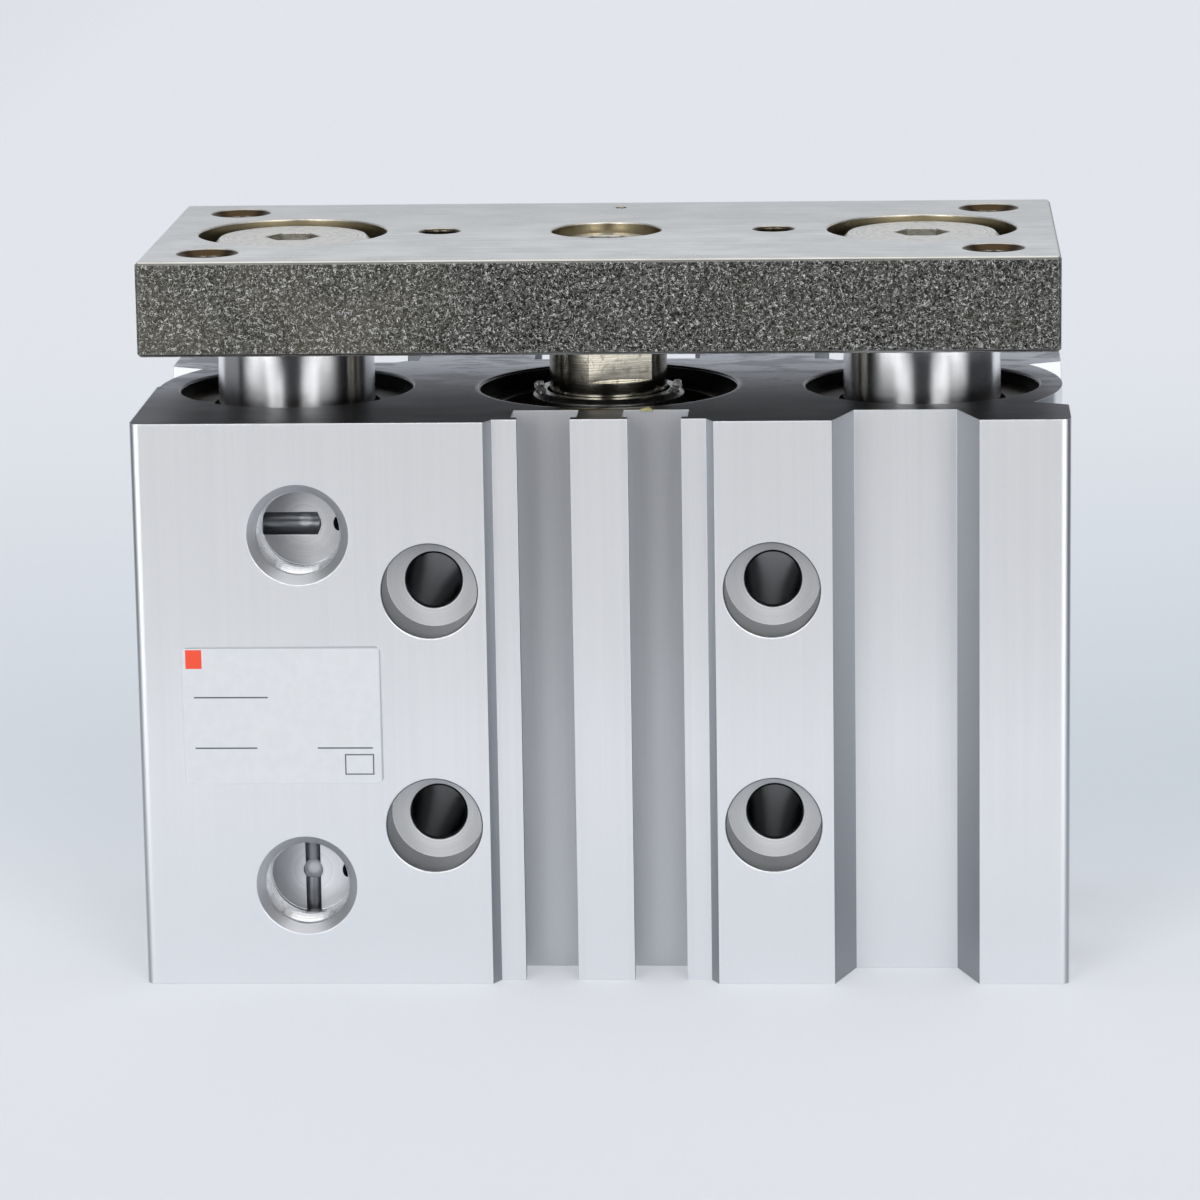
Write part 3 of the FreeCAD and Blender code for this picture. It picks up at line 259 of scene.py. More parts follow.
class BodyMasks:
    """Masks for the body's finish: each is 1 on its own surfaces and 0 elsewhere."""

    def __init__(self, f):
        face_x, face_y, face_z = f.facing()
        self.ends = f.smooth(face_z, 0.6, 0.9)
        self.find_mounting_holes(f)
        self.find_ports(f)
        self.find_bores(f)
        self.find_outer_faces(f, face_x)
        bored = f.most(self.through_holes, self.counterbores)
        self.turned = f.most(bored, self.ports, self.channels, self.bores)
        self.seats = f.times(f.most(self.counterbores, self.ports), f.smooth(face_y, 0.9, 0.98))

    def find_mounting_holes(self, f):
        middle_z = mount_place("body_through_holes")[2]
        dims = MOUNTS["body_through_holes"]["dims"]
        from_x = f.near_pair(f.x, 0.0, dims["spacing_x_mm"])
        from_z = f.near_pair(f.z, middle_z, dims["spacing_y_mm"])
        self.hole_radius = f.reach(from_x, from_z)
        self.through_holes = f.within(self.hole_radius, THROUGH_HOLE_R, 0.02)
        inside = f.within(self.hole_radius, COUNTERBORE_R, 0.05)
        inside = f.times(inside, f.within(f.y, COUNTERBORE_FLOOR_Y, 0.1))
        self.counterbores = f.times(inside, f.invert(self.through_holes))

    def find_ports(self, f):
        self.port_x, _, upper_z = mount_place("upper_air_port")
        lower_z = mount_place("lower_air_port")[2]
        from_z = f.near_pair(f.z, (upper_z + lower_z) / 2, upper_z - lower_z)
        self.port_radius = f.reach(f.away(f.x, self.port_x), from_z)
        inside = f.within(self.port_radius, PORT_R, 0.04)
        self.ports = f.times(inside, f.within(f.y, PORT_FLOOR_Y, 0.1))
        last_turn = f.between(f.y, LAST_TURN_FRONT_Y, LAST_TURN_BACK_Y, 0.03)
        self.last_turns = f.times(self.ports, last_turn)
        self.rims = f.between(self.port_radius, PORT_R - 0.03, PORT_RIM_R, 0.04)
        self.channels = f.times(inside, f.between(f.y, PORT_FLOOR_Y, CHANNEL_FLOOR_Y, 0.05))
        aside = f.times(f.away(f.x, self.port_x + PASSAGE_FROM_PORT), 1.5)
        self.passages = f.within(f.reach(aside, from_z), PASSAGE_R, 0.04)

    def find_bores(self, f):
        self.guide_radius = f.reach(f.near_pair(f.x, 0.0, 2 * guide_rod_x()), f.y)
        self.bore_radius = f.reach(f.x, f.y)
        in_guides = f.within(self.guide_radius, GUIDE_RECESS_R, 0.05)
        self.bores = f.most(in_guides, f.within(self.bore_radius, BORE_MOUTH_R, 0.05))

    def find_outer_faces(self, f, face_x):
        low, high = box_mm("body")
        from_middle = f.away(f.x, 0.0)
        not_outermost = f.within(from_middle, high.x - 1.5, 0.5)
        self.slot_walls = f.times(f.smooth(face_x, 0.5, 0.8), not_outermost)
        from_groove = f.away(from_middle, mount_place("sensor_groove_front_right")[0])
        in_groove = f.within(from_groove, SENSOR_GROOVE_HALF_WIDTH, 0.1)
        self.grooves = f.times(in_groove, f.smooth(f.y, low.y + 1.0, low.y + 4.0))
        at_side = f.smooth(from_middle, high.x - 0.7, high.x - 0.2)
        at_face = f.smooth(f.away(f.y, 0.0), high.y - 0.9, high.y - 0.3)
        self.corners = f.times(at_side, at_face)


def anodised_skin(f, masks, tone):
    """The extruded faces, with painted shade: darker low down, greyer on slot walls and in the
    grooves, and greyer at the side corners.
    """
    colour = f.blend(f.smooth(tone, 0.3, 0.7), rgb(243, 245, 247), rgb(249, 250, 252))
    # Painted shade: darker towards the bottom of the body.
    colour = f.blend(f.smooth(f.z, 28.0, 4.0), colour, rgb(230, 232, 235))
    # Painted shade: greyer on the slot walls and in the sensor grooves.
    painted_groove_shade = f.most(masks.slot_walls, f.times(masks.grooves, 0.42))
    colour = f.blend(painted_groove_shade, colour, rgb(150, 153, 158))
    # Painted shade on the body's rounded side corners.
    return f.blend(masks.corners, colour, rgb(172, 175, 180))


def milled_ends(f, milling, scuffs):
    """The milled ends: dark with painted shade, and paler towards the back as painted light,
    broken up by scuffs.
    """
    # Painted shade: the dark colour stands for the top lying under the plate.
    colour = f.blend(f.smooth(milling, 0.3, 0.7), rgb(52, 53, 57), rgb(64, 66, 70))
    # Painted light: paler towards the back, broken up by the scuffs.
    painted_light_and_scuffs = f.times(f.smooth(f.y, -12.0, 13.0), f.smooth(scuffs, 0.4, 0.54, 0.35, 1.0))
    return f.blend(painted_light_and_scuffs, colour, rgb(182, 184, 190))


def turned_surfaces(f, masks, turning):
    """Bores, hole walls and the floors of counterbores and ports."""
    bore = f.blend(f.smooth(turning, 0.25, 0.75), rgb(104, 105, 108), rgb(140, 142, 145))
    bore = f.blend(f.smooth(f.z, 40.0, 50.0), bore, rgb(58, 59, 61))
    wall = f.blend(f.smooth(turning, 0.3, 0.7), rgb(74, 76, 79), rgb(102, 104, 108))
    port_wall = f.blend(turning, rgb(222, 224, 226), rgb(248, 249, 250))
    wall = f.blend(masks.ports, wall, port_wall)
    seat = f.blend(f.smooth(turning, 0.2, 0.8), rgb(238, 240, 242), rgb(249, 250, 251))
    return f.blend(masks.seats, f.blend(masks.bores, wall, bore), seat)


def mark_ports(f, masks, turning, colour):
    """Painted shade on the port floors, over the passage mouths, on the drilled channels behind
    them, on the rims and in the last turns.
    """
    floors = f.times(masks.ports, masks.seats)
    # Painted shade across the left side of each port floor.
    across_floor = f.plus(f.x, f.times(turning, 0.8))
    shade = f.smooth(across_floor, masks.port_x + 1.6, masks.port_x - 2.4)
    colour = f.blend(f.times(floors, shade, 0.75), colour, rgb(150, 152, 157))
    # Painted shade: a dark mark over each passage's mouth on the floors.
    colour = f.blend(f.times(floors, masks.passages), colour, rgb(20, 20, 22))
    # Painted shading on the drilled dimple: lighter in its middle, darker out towards its edge.
    painted_dimple_shade = f.smooth(masks.port_radius, 0.3, 0.9)
    channel = f.blend(painted_dimple_shade, rgb(204, 206, 208), rgb(142, 144, 148))
    colour = f.blend(masks.channels, colour, channel)
    # Painted shade: the port rims are toned down against their bright edge.
    rims = f.times(masks.rims, f.within(f.y, box_mm("body")[0].y + 1.1, 0.1))
    colour = f.blend(rims, colour, rgb(186, 188, 191))
    # Painted shade: a thin dark ring in the gap at the thread's last turn.
    return f.blend(masks.last_turns, colour, rgb(40, 41, 43))


def anodised_aluminium():
    """Matt clear anodising, with extrusion lines up the sides, milled ends and bright holes."""
    f = Finish("anodised_aluminium_finish")
    masks = BodyMasks(f)

    nearest_hole = f.maths("MINIMUM", masks.hole_radius, masks.port_radius)
    nearest_bore = f.maths("MINIMUM", masks.guide_radius, masks.bore_radius)
    along_hole = f.plus(f.y, f.times(nearest_hole, 0.8))
    along_bore = f.plus(f.z, f.times(nearest_bore, 0.8))
    turning = f.noise_along(f.lerp(masks.bores, along_hole, along_bore), 5.0, 3.0, 0.7)
    lines = f.noise(f.stretched(f.at, 1.0, 1.0, 0.006), 2.6, 5.0, 0.62)
    grain = f.noise(f.at, 9.0, 3.0, 0.7)
    clouds = f.noise(f.stretched(f.at, 1.0, 1.0, 0.35), 0.09, 2.0, 0.5)
    cutter_arc = f.reach(f.x, f.maths("ADD", f.y, 70.0))
    milling = f.noise_along(cutter_arc, 3.2, 3.0, 0.6)
    scuffs = f.noise(f.stretched(f.at, 0.6, 1.6, 1.0), 0.22, 5.0, 0.65, 0.4)
    tone = f.plus(f.times(lines, 0.5), f.times(grain, 0.25), f.times(clouds, 0.25))

    colour = f.blend(masks.ends, anodised_skin(f, masks, tone), milled_ends(f, milling, scuffs))
    colour = f.blend(masks.turned, colour, turned_surfaces(f, masks, turning))
    colour = mark_ports(f, masks, turning, colour)
    # Painted shade: dark deep inside the through holes.
    deep = f.within(f.away(f.y, 0.0), box_mm("body")[1].y - 2.0, 1.0)
    deep = f.times(masks.through_holes, deep)
    colour = f.blend(deep, colour, rgb(34, 35, 37))
    # Edge wear and painted highlight: the rounded edges are lightened, except on the port rims.
    edge = f.round_edges(0.13)
    edge_wear_and_highlight = f.times(edge, f.invert(masks.rims), 0.75)
    colour = f.blend(edge_wear_and_highlight, colour, rgb(246, 248, 251))

    roughness = f.lerp(masks.ends, f.lerp(grain, 0.36, 0.46), f.lerp(scuffs, 0.36, 0.5))
    roughness = f.lerp(masks.turned, roughness, 0.3)
    roughness = f.lerp(masks.seats, roughness, 0.42)
    metallic = f.lerp(f.times(masks.seats, masks.counterbores), 1.0, 0.25)
    f.set(base_color=colour, roughness=roughness, metallic=metallic)
    skin = f.plus(f.times(lines, 0.22), f.times(grain, 0.4))
    skin = f.lerp(masks.ends, skin, f.times(milling, 0.12))
    cut_height = f.lerp(masks.seats, f.times(turning, 0.6), f.times(turning, 0.15))
    f.relief(f.lerp(masks.turned, skin, cut_height), 0.03)
    return f.material


# How far the dark brown inside the plate's small holes reaches from their axes, in millimetres.
TOOL_HOLE_DARK_R = 3.2
DOWEL_HOLE_DARK_R = 2.4


class PlateMasks:
    """Masks for the plate's finish: each is 1 on its own surfaces and 0 elsewhere."""

    def __init__(self, f):
        low, high = box_mm("plate")
        face_z = f.facing()[2]
        flat = f.smooth(face_z, 0.5, 0.8)
        outside = f.most(
            f.smooth(f.away(f.x, 0.0), high.x - 0.2, high.x - 0.1),
            f.smooth(f.away(f.y, 0.0), high.y - 0.2, high.y - 0.1),
        )
        underside = f.within(f.z, low.z + 0.05, 0.05)
        self.sides = f.most(f.times(outside, f.invert(flat)), underside)
        self.hole_walls = f.times(f.invert(outside), f.invert(flat), f.invert(underside))
        self.corners = f.times(outside, f.between(face_z, 0.55, 0.85, 0.05))
        self.near_top = f.smooth(f.z, high.z - 4.6, high.z)
        self.small_holes = f.times(self.find_small_holes(f), f.within(f.z, high.z - 0.12, 0.06))

    def find_small_holes(self, f):
        """The tapped tool holes and the dowel holes, out to their chamfers."""
        tool_x, tool_y, _ = mount_place("plate_tool_holes")
        dims = MOUNTS["plate_tool_holes"]["dims"]
        from_x = f.near_pair(f.x, tool_x, dims["spacing_x_mm"])
        from_y = f.near_pair(f.y, tool_y, dims["spacing_y_mm"])
        tool_holes = f.within(f.reach(from_x, from_y), TOOL_HOLE_DARK_R, 0.05)
        dowel_spacing = MOUNTS["plate_dowel_holes"]["dims"]["spacing_x_mm"]
        dowel_radius = f.reach(f.near_pair(f.x, 0.0, dowel_spacing), f.y)
        return f.most(tool_holes, f.within(dowel_radius, DOWEL_HOLE_DARK_R, 0.05))


def grainy_sides(f, grain):
    """The plate's sides: near black with bright worm-like grains, and paler to the left as a
    painted reflection.
    """
    patches = f.smooth(f.noise(f.at, 0.12, 3.0, 0.6), 0.35, 0.65)
    dark = f.blend(patches, rgb(26, 27, 26), rgb(44, 44, 40))
    pale = f.blend(patches, rgb(52, 50, 44), rgb(76, 72, 62))
    # Painted reflection: paler towards the left.
    colour = f.blend(f.smooth(f.x, -10.0, -26.0), dark, pale)
    middling = f.smooth(f.noise(f.at, 2.9, 3.0, 0.6, 0.8), 0.42, 0.62)
    colour = f.blend(f.times(middling, 0.5), colour, rgb(120, 120, 114))
    return f.blend(f.times(grain, 0.78), colour, rgb(232, 234, 230))


def ground_top(f, smudges, grinding):
    """The plate's ground faces: fine lines along X and smudges, and darker towards the back as a
    painted reflection.
    """
    shade = f.plus(f.times(smudges, 0.6), f.times(grinding, 0.4))
    colour = f.blend(f.smooth(shade, 0.35, 0.65), rgb(192, 193, 190), rgb(224, 224, 220))
    # Painted reflection: darker towards the back.
    return f.blend(f.times(f.smooth(f.y, -12.0, 16.0), 0.3), colour, rgb(150, 150, 146))


def plated_plate_steel():
    """Nickel on steel: grainy dark sides, a ground top, brown in the holes."""
    f = Finish("plated_plate_steel_finish")
    masks = PlateMasks(f)
    worms = f.noise(f.at, 2.5, 1.0, 0.5, 1.3)
    ridges = f.within(f.away(worms, 0.5), 0.006, 0.05)
    specks = f.smooth(f.noise(f.at, 2.2, 2.0, 0.6), 0.44, 0.58)
    grain = f.times(ridges, f.lerp(specks, 0.1, 0.95))
    smudges = f.noise(f.stretched(f.at, 1.0, 1.6, 1.0), 0.16, 4.0, 0.6)
    grinding = f.noise(f.stretched(f.at, 0.02, 1.0, 1.0), 3.0, 4.0, 0.6)

    colour = f.blend(masks.sides, ground_top(f, smudges, grinding), grainy_sides(f, grain))
    # Tarnished brown hole walls, with painted shade: darker deeper in, paler near the top.
    tarnish_and_painted_shade = f.blend(masks.near_top, rgb(60, 50, 36), rgb(158, 147, 120))
    colour = f.blend(masks.hole_walls, colour, tarnish_and_painted_shade)
    # Dark brown inside the tool and dowel holes.
    colour = f.blend(masks.small_holes, colour, rgb(66, 54, 38))
    # Painted shade: the edge chamfers are toned darker against the light they catch.
    colour = f.blend(masks.corners, colour, rgb(104, 104, 101))
    # Painted highlight along the rounded edges.
    colour = f.blend(f.times(f.round_edges(0.2), 0.3), colour, rgb(214, 214, 210))

    roughness = f.lerp(masks.sides, f.lerp(smudges, 0.2, 0.4), f.lerp(grain, 0.45, 0.25))
    metallic = f.lerp(masks.sides, 1.0, 0.75)
    f.set(base_color=colour, metallic=metallic, roughness=roughness)
    side_height = f.plus(f.times(worms, 0.6), f.times(grain, 0.4))
    f.relief(f.lerp(masks.sides, f.times(grinding, 0.12), side_height), 0.06)
    return f.material


def hard_chrome():
    """Ground and chromed rods: a mirror with the finest rings round it."""
    f = Finish("hard_chrome_finish")
    rings = f.noise_along(f.z, 9.0, 4.0, 0.7)
    haze = f.noise(f.stretched(f.at, 1.0, 1.0, 0.6), 0.45, 4.0, 0.6)
    colour = f.blend(f.smooth(rings, 0.3, 0.7), rgb(240, 241, 243), rgb(250, 251, 252))
    f.round_edges(0.12)
    f.set(base_color=colour, metallic=1.0, roughness=f.smooth(haze, 0.35, 0.65, 0.2, 0.27))
    f.set(anisotropic=0.95, anisotropic_rotation=0.25)
    f.relief(rings, 0.001)
    return f.material


def plated_rod_steel():
    """The piston rod: a warmer, duller plating, scratched along its flats."""
    f = Finish("plated_rod_steel_finish")
    rings = f.noise_along(f.z, 7.0, 4.0, 0.7)
    scratches = f.noise(f.stretched(f.at, 0.25, 0.25, 6.0), 2.2, 4.0, 0.7)
    mark = f.plus(f.times(rings, 0.5), f.times(scratches, 0.5))
    worn = f.noise(f.stretched(f.at, 1.4, 1.0, 1.0), 0.9, 5.0, 0.7, 0.6)
    colour = f.blend(f.smooth(mark, 0.35, 0.65), rgb(158, 154, 140), rgb(206, 202, 188))
    colour = f.blend(f.smooth(worn, 0.52, 0.66, 0.0, 0.5), colour, rgb(92, 88, 76))
    f.round_edges(0.15)
    f.set(base_color=colour, metallic=1.0, roughness=f.lerp(scratches, 0.1, 0.2))
    f.relief(mark, 0.002)
    return f.material


def plated_screw_steel():
    """Bolt heads and plugs: nickel plated, turned on top, scuffed at the sockets."""
    f = Finish("plated_screw_steel_finish")
    guide_radius = f.reach(f.near_pair(f.x, 0.0, 2 * guide_rod_x()), f.y)
    radius = f.maths("MINIMUM", guide_radius, f.reach(f.x, f.y))
    rings = f.noise_along(f.plus(radius, f.z), 4.5, 3.0, 0.6)
    scuffs = f.noise(f.at, 1.4, 4.0, 0.65)
    tone = f.plus(f.times(rings, 0.5), f.times(scuffs, 0.5))
    colour = f.blend(f.smooth(tone, 0.32, 0.68), rgb(182, 180, 170), rgb(232, 230, 222))
    # Edge wear and painted highlight: the rounded edges are lightened.
    colour = f.blend(f.times(f.round_edges(0.2), 0.6), colour, rgb(246, 245, 240))
    f.set(base_color=colour, metallic=1.0, roughness=f.lerp(scuffs, 0.2, 0.4))
    f.relief(tone, 0.015)
    return f.material


def turned_metal(name, dark, light, roughness, centres=(0.0,), mark=4.0):
    """A metal turned about upright axes at these X places, with rings across and along it."""
    f = Finish(name)
    radius = f.reach(f.away(f.x, centres[0]), f.y)
    for centre in centres[1:]:
        radius = f.maths("MINIMUM", radius, f.reach(f.away(f.x, centre), f.y))
    rings = f.noise_along(f.plus(f.times(radius, 0.8), f.z), mark, 4.0, 0.65)
    stains = f.noise(f.at, 0.6, 3.0, 0.6)
    tone = f.plus(f.times(rings, 0.6), f.times(stains, 0.4))
    colour = f.blend(f.smooth(tone, 0.32, 0.68), rgb(*dark), rgb(*light))
    # Edge wear and painted highlight: the rounded edges are lightened.
    worn = rgb(*[min(255, value + 30) for value in light])
    colour = f.blend(f.times(f.round_edges(0.15), 0.4), colour, worn)
    f.set(base_color=colour, metallic=1.0, roughness=f.lerp(stains, roughness, roughness + 0.14))
    f.relief(rings, 0.012)
    return f.material


def thread_metal(name, dark, light):
    """The flanks of a cut thread, with the streaks that the tap leaves."""
    f = Finish(name)
    streaks = f.noise(f.at, 3.0, 3.0, 0.6)
    colour = f.blend(f.smooth(streaks, 0.35, 0.65), rgb(*dark), rgb(*light))
    f.set(base_color=colour, metallic=1.0, roughness=f.lerp(streaks, 0.24, 0.34))
    f.relief(streaks, 0.0015)
    return f.material


def cover_alloy():
    return turned_metal("cover_alloy_finish", (112, 112, 109), (158, 158, 153), 0.22)


def piston_alloy():
    return turned_metal("piston_alloy_finish", (176, 177, 178), (218, 219, 220), 0.22)


def bearing_bronze():
    centres = (-guide_rod_x(), 0.0, guide_rod_x())
    return turned_metal("bearing_bronze_finish", (120, 84, 44), (190, 146, 86), 0.3, centres)


def ball_steel():
    return turned_metal("ball_steel_finish", (170, 171, 173), (214, 215, 217), 0.12, mark=9.0)


def dark_spring_steel():
    """Black oxided rings and holders, with an oily brown cast."""
    f = Finish("dark_spring_steel_finish")
    film = f.noise(f.at, 0.35, 4.0, 0.6)
    grain = f.noise(f.at, 6.0, 3.0, 0.6)
    colour = f.blend(f.smooth(film, 0.35, 0.65), rgb(38, 34, 30), rgb(84, 74, 62))
    # Edge wear and painted highlight: the rounded edges are lightened.
    colour = f.blend(f.times(f.round_edges(0.12), 0.5), colour, rgb(150, 142, 130))
    f.set(base_color=colour, metallic=0.8, roughness=f.lerp(grain, 0.28, 0.5))
    f.relief(grain, 0.02)
    return f.material


def rubber(name, dark, light, roughness):
    """Moulded rubber with a faint bloom and fine pits."""
    f = Finish(name)
    bloom = f.noise(f.at, 0.4, 3.0, 0.6)
    pits = f.noise(f.at, 8.0, 2.0, 0.6)
    colour = f.blend(f.smooth(bloom, 0.35, 0.65), rgb(*dark), rgb(*light))
    f.set(base_color=colour, roughness=f.lerp(pits, roughness, roughness + 0.2))
    f.relief(pits, 0.02)
    return f.material


def seal_rubber():
    return rubber("seal_rubber_finish", (20, 20, 21), (38, 38, 39), 0.4)


def bumper_rubber():
    return rubber("bumper_rubber_finish", (98, 60, 30), (140, 92, 48), 0.45)


def magnet():
    """Bonded ferrite: dark grey, fine, with paler flecks."""
    f = Finish("magnet_finish")
    flecks = f.smooth(f.noise(f.at, 7.0, 2.0, 0.6), 0.6, 0.72)
    tone = f.noise(f.at, 0.8, 3.0, 0.6)
    base = f.blend(tone, rgb(44, 43, 44), rgb(72, 70, 70))
    f.set(base_color=f.blend(f.times(flecks, 0.5), base, rgb(128, 126, 124)), roughness=0.6)
    f.relief(tone, 0.03)
    return f.material


def oiled_felt():
    """Oil-soaked wool felt: dark matted fibres."""
    f = Finish("oiled_felt_finish")
    fibres = f.noise(f.at, 4.0, 5.0, 0.75, 1.2)
    tufts = f.noise(f.at, 0.9, 2.0, 0.5)
    tone = f.plus(f.times(fibres, 0.7), f.times(tufts, 0.3))
    colour = f.blend(f.smooth(tone, 0.35, 0.65), rgb(52, 44, 34), rgb(104, 90, 68))
    f.set(base_color=colour, roughness=0.7, sheen_weight=0.3)
    f.relief(fibres, 0.12)
    return f.material


FINISHES = {
    "anodised_aluminium": anodised_aluminium,
    "plated_plate_steel": plated_plate_steel,
    "hard_chrome": hard_chrome,
    "plated_rod_steel": plated_rod_steel,
    "plated_screw_steel": plated_screw_steel,
    "cover_alloy": cover_alloy,
    "piston_alloy": piston_alloy,
    "bearing_bronze": bearing_bronze,
    "seal_rubber": seal_rubber,
    "bumper_rubber": bumper_rubber,
    "magnet": magnet,
    "oiled_felt": oiled_felt,
    "dark_spring_steel": dark_spring_steel,
    "ball_steel": ball_steel,
}


def dress_nodes():
    """Gives every CAD node the finish that its material slot names."""
    finishes = {name: make() for name, make in FINISHES.items()}
    for node in frame["nodes"].values():
        for material_slot in node.material_slots:
            material_slot.material = finishes[material_slot.material.name]


# ---------------------------------------------------------------- pieces


def make_piece(name, points, faces, material, body, slot, smooth=True):
    """A mesh from points in millimetres, riding on a body."""
    mesh = bpy.data.meshes.new(name)
    mesh.from_pydata([Vector(point) * MM for point in points], [], faces)
    mesh.materials.append(material)
    if smooth:
        mesh.shade_smooth()
    piece = bpy.data.objects.new(name, mesh)
    bpy.context.scene.collection.objects.link(piece)
    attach(piece, body)
    return piece


def square_to(axis):
    """Two unit vectors that are square to an axis, and to each other."""
    aside = Vector((0, 0, 1)) if abs(axis.z) < 0.5 else Vector((1, 0, 0))
    first = axis.cross(aside).normalized()
    return first, first.cross(axis).normalized()


# A thread's ridge: its half widths in pitches, its other sizes in millimetres.
THREAD_STEPS = 40
RIDGE_HALF_ROOT = 0.34
RIDGE_HALF_CREST = 0.06
RIDGE_SINK = 0.03
RIDGE_LEAST_DEPTH = 0.02

PORT_THREAD_PITCH = 0.907
PORT_THREAD_DEPTH = 0.26
PORT_THREAD_START = 0.75
PORT_THREAD_SHORTER = 0.45
SCREW_THREAD_PITCH = 1.0
SCREW_THREAD_DEPTH = 0.3
BODY_THREAD_START = 0.4
BACK_THREAD_LENGTH = 9.0
BOTTOM_THREAD_LENGTH = 10.0
PLATE_THREAD_START = 0.5
PLATE_THREAD_LENGTH = 8.8


def build_thread(name, mouth, inward, size, dress):
    """An internal thread: one closed ridge wound on the wall of a hole.

    size is (radius, pitch, length, depth), and dress is (material, body, slot); the slot is not
    used.
    """
    radius, pitch, length, depth = size
    mouth, inward = Vector(mouth), Vector(inward)
    side, up = square_to(inward)
    turns = length / pitch - 1.0
    count = int(turns * THREAD_STEPS)
    root = radius + RIDGE_SINK
    points, faces = [], []
    for step in range(count + 1):
        turn = step / THREAD_STEPS
        out = math.cos(turn * math.tau) * side + math.sin(turn * math.tau) * up
        middle = mouth + inward * pitch * (turn + 0.5)
        full = min(1.0, 2.0 * turn, 2.0 * (turns - turn)) * depth
        crest = radius - max(full, RIDGE_LEAST_DEPTH)
        for along, reach in (
            (-RIDGE_HALF_ROOT, root),
            (-RIDGE_HALF_CREST, crest),
            (RIDGE_HALF_CREST, crest),
            (RIDGE_HALF_ROOT, root),
        ):
            points.append(middle + inward * pitch * along + out * reach)
    for step in range(count):
        base = 4 * step
        for corner in range(4):
            after = (corner + 1) % 4
            faces.append((base + corner, base + after, base + 4 + after, base + 4 + corner))
    last = 4 * count
    faces.append((3, 2, 1, 0))
    faces.append((last, last + 1, last + 2, last + 3))
    make_piece(name, points, faces, *dress, smooth=False)


def hole_offsets(mount, piece):
    """A four-hole pattern's offsets along its two spacings, with a piece name for each."""
    dims = MOUNTS[mount]["dims"]
    for x_sign, x_word in ((-1, "left"), (1, "right")):
        for other_sign, other_word in ((-1, "low"), (1, "high")):
            aside = x_sign * dims["spacing_x_mm"] / 2
            other = other_sign * dims["spacing_y_mm"] / 2
            yield aside, other, f"{piece}_{x_word}_{other_word}"


def screw_thread(mount, length):
    """The size of the thread in a mount's tapped holes."""
    radius = MOUNTS[mount]["dims"]["hole_r_mm"]
    return radius, SCREW_THREAD_PITCH, length, SCREW_THREAD_DEPTH


def build_port_threads(dress):
    front = box_mm("body")[0].y
    for name in ("upper_air_port", "lower_air_port"):
        x, _, z = mount_place(name)
        dims = MOUNTS[name]["dims"]
        length = dims["length_mm"] - PORT_THREAD_SHORTER
        size = (dims["r_mm"], PORT_THREAD_PITCH, length, PORT_THREAD_DEPTH)
        mouth = (x, front + PORT_THREAD_START, z)
        build_thread(f"{name}_thread", mouth, (0, 1, 0), size, dress)


def build_body_threads(dress):
    """Threads in the tapped holes of the body's back and bottom."""
    back = box_mm("body")[1].y
    x, _, z = mount_place("back_tapped_holes")
    size = screw_thread("back_tapped_holes", BACK_THREAD_LENGTH)
    for aside, up, name in hole_offsets("back_tapped_holes", "back_thread"):
        mouth = (x + aside, back - BODY_THREAD_START, z + up)
        build_thread(name, mouth, (0, -1, 0), size, dress)
    size = screw_thread("bottom_tapped_holes", BOTTOM_THREAD_LENGTH)
    for aside, deep, name in hole_offsets("bottom_tapped_holes", "bottom_thread"):
        build_thread(name, (aside, deep, BODY_THREAD_START), (0, 0, 1), size, dress)


def build_plate_threads(dress):
    top = box_mm("plate")[1].z
    size = screw_thread("plate_tool_holes", PLATE_THREAD_LENGTH)
    for aside, deep, name in hole_offsets("plate_tool_holes", "plate_thread"):
        build_thread(name, (aside, deep, top - PLATE_THREAD_START), (0, 0, -1), size, dress)


def build_threads():
    bright = thread_metal("bright_thread", (220, 222, 224), (238, 239, 241))
    dark = thread_metal("dark_thread", (38, 31, 22), (74, 62, 46))
    build_port_threads((bright, "housing", "anodised_aluminium"))
    build_body_threads((bright, "housing", "anodised_aluminium"))
    build_plate_threads((dark, "carriage", "plated_plate_steel"))


LABEL_CENTRE = Vector((-31.95, 0.0, 27.9))
LABEL_WIDTH = 19.9
LABEL_HEIGHT = 14.0
LABEL_THICKNESS = 0.06
LABEL_CORNER = 0.6
LABEL_TILT = math.radians(0.3)
LABEL_SINK = 0.02


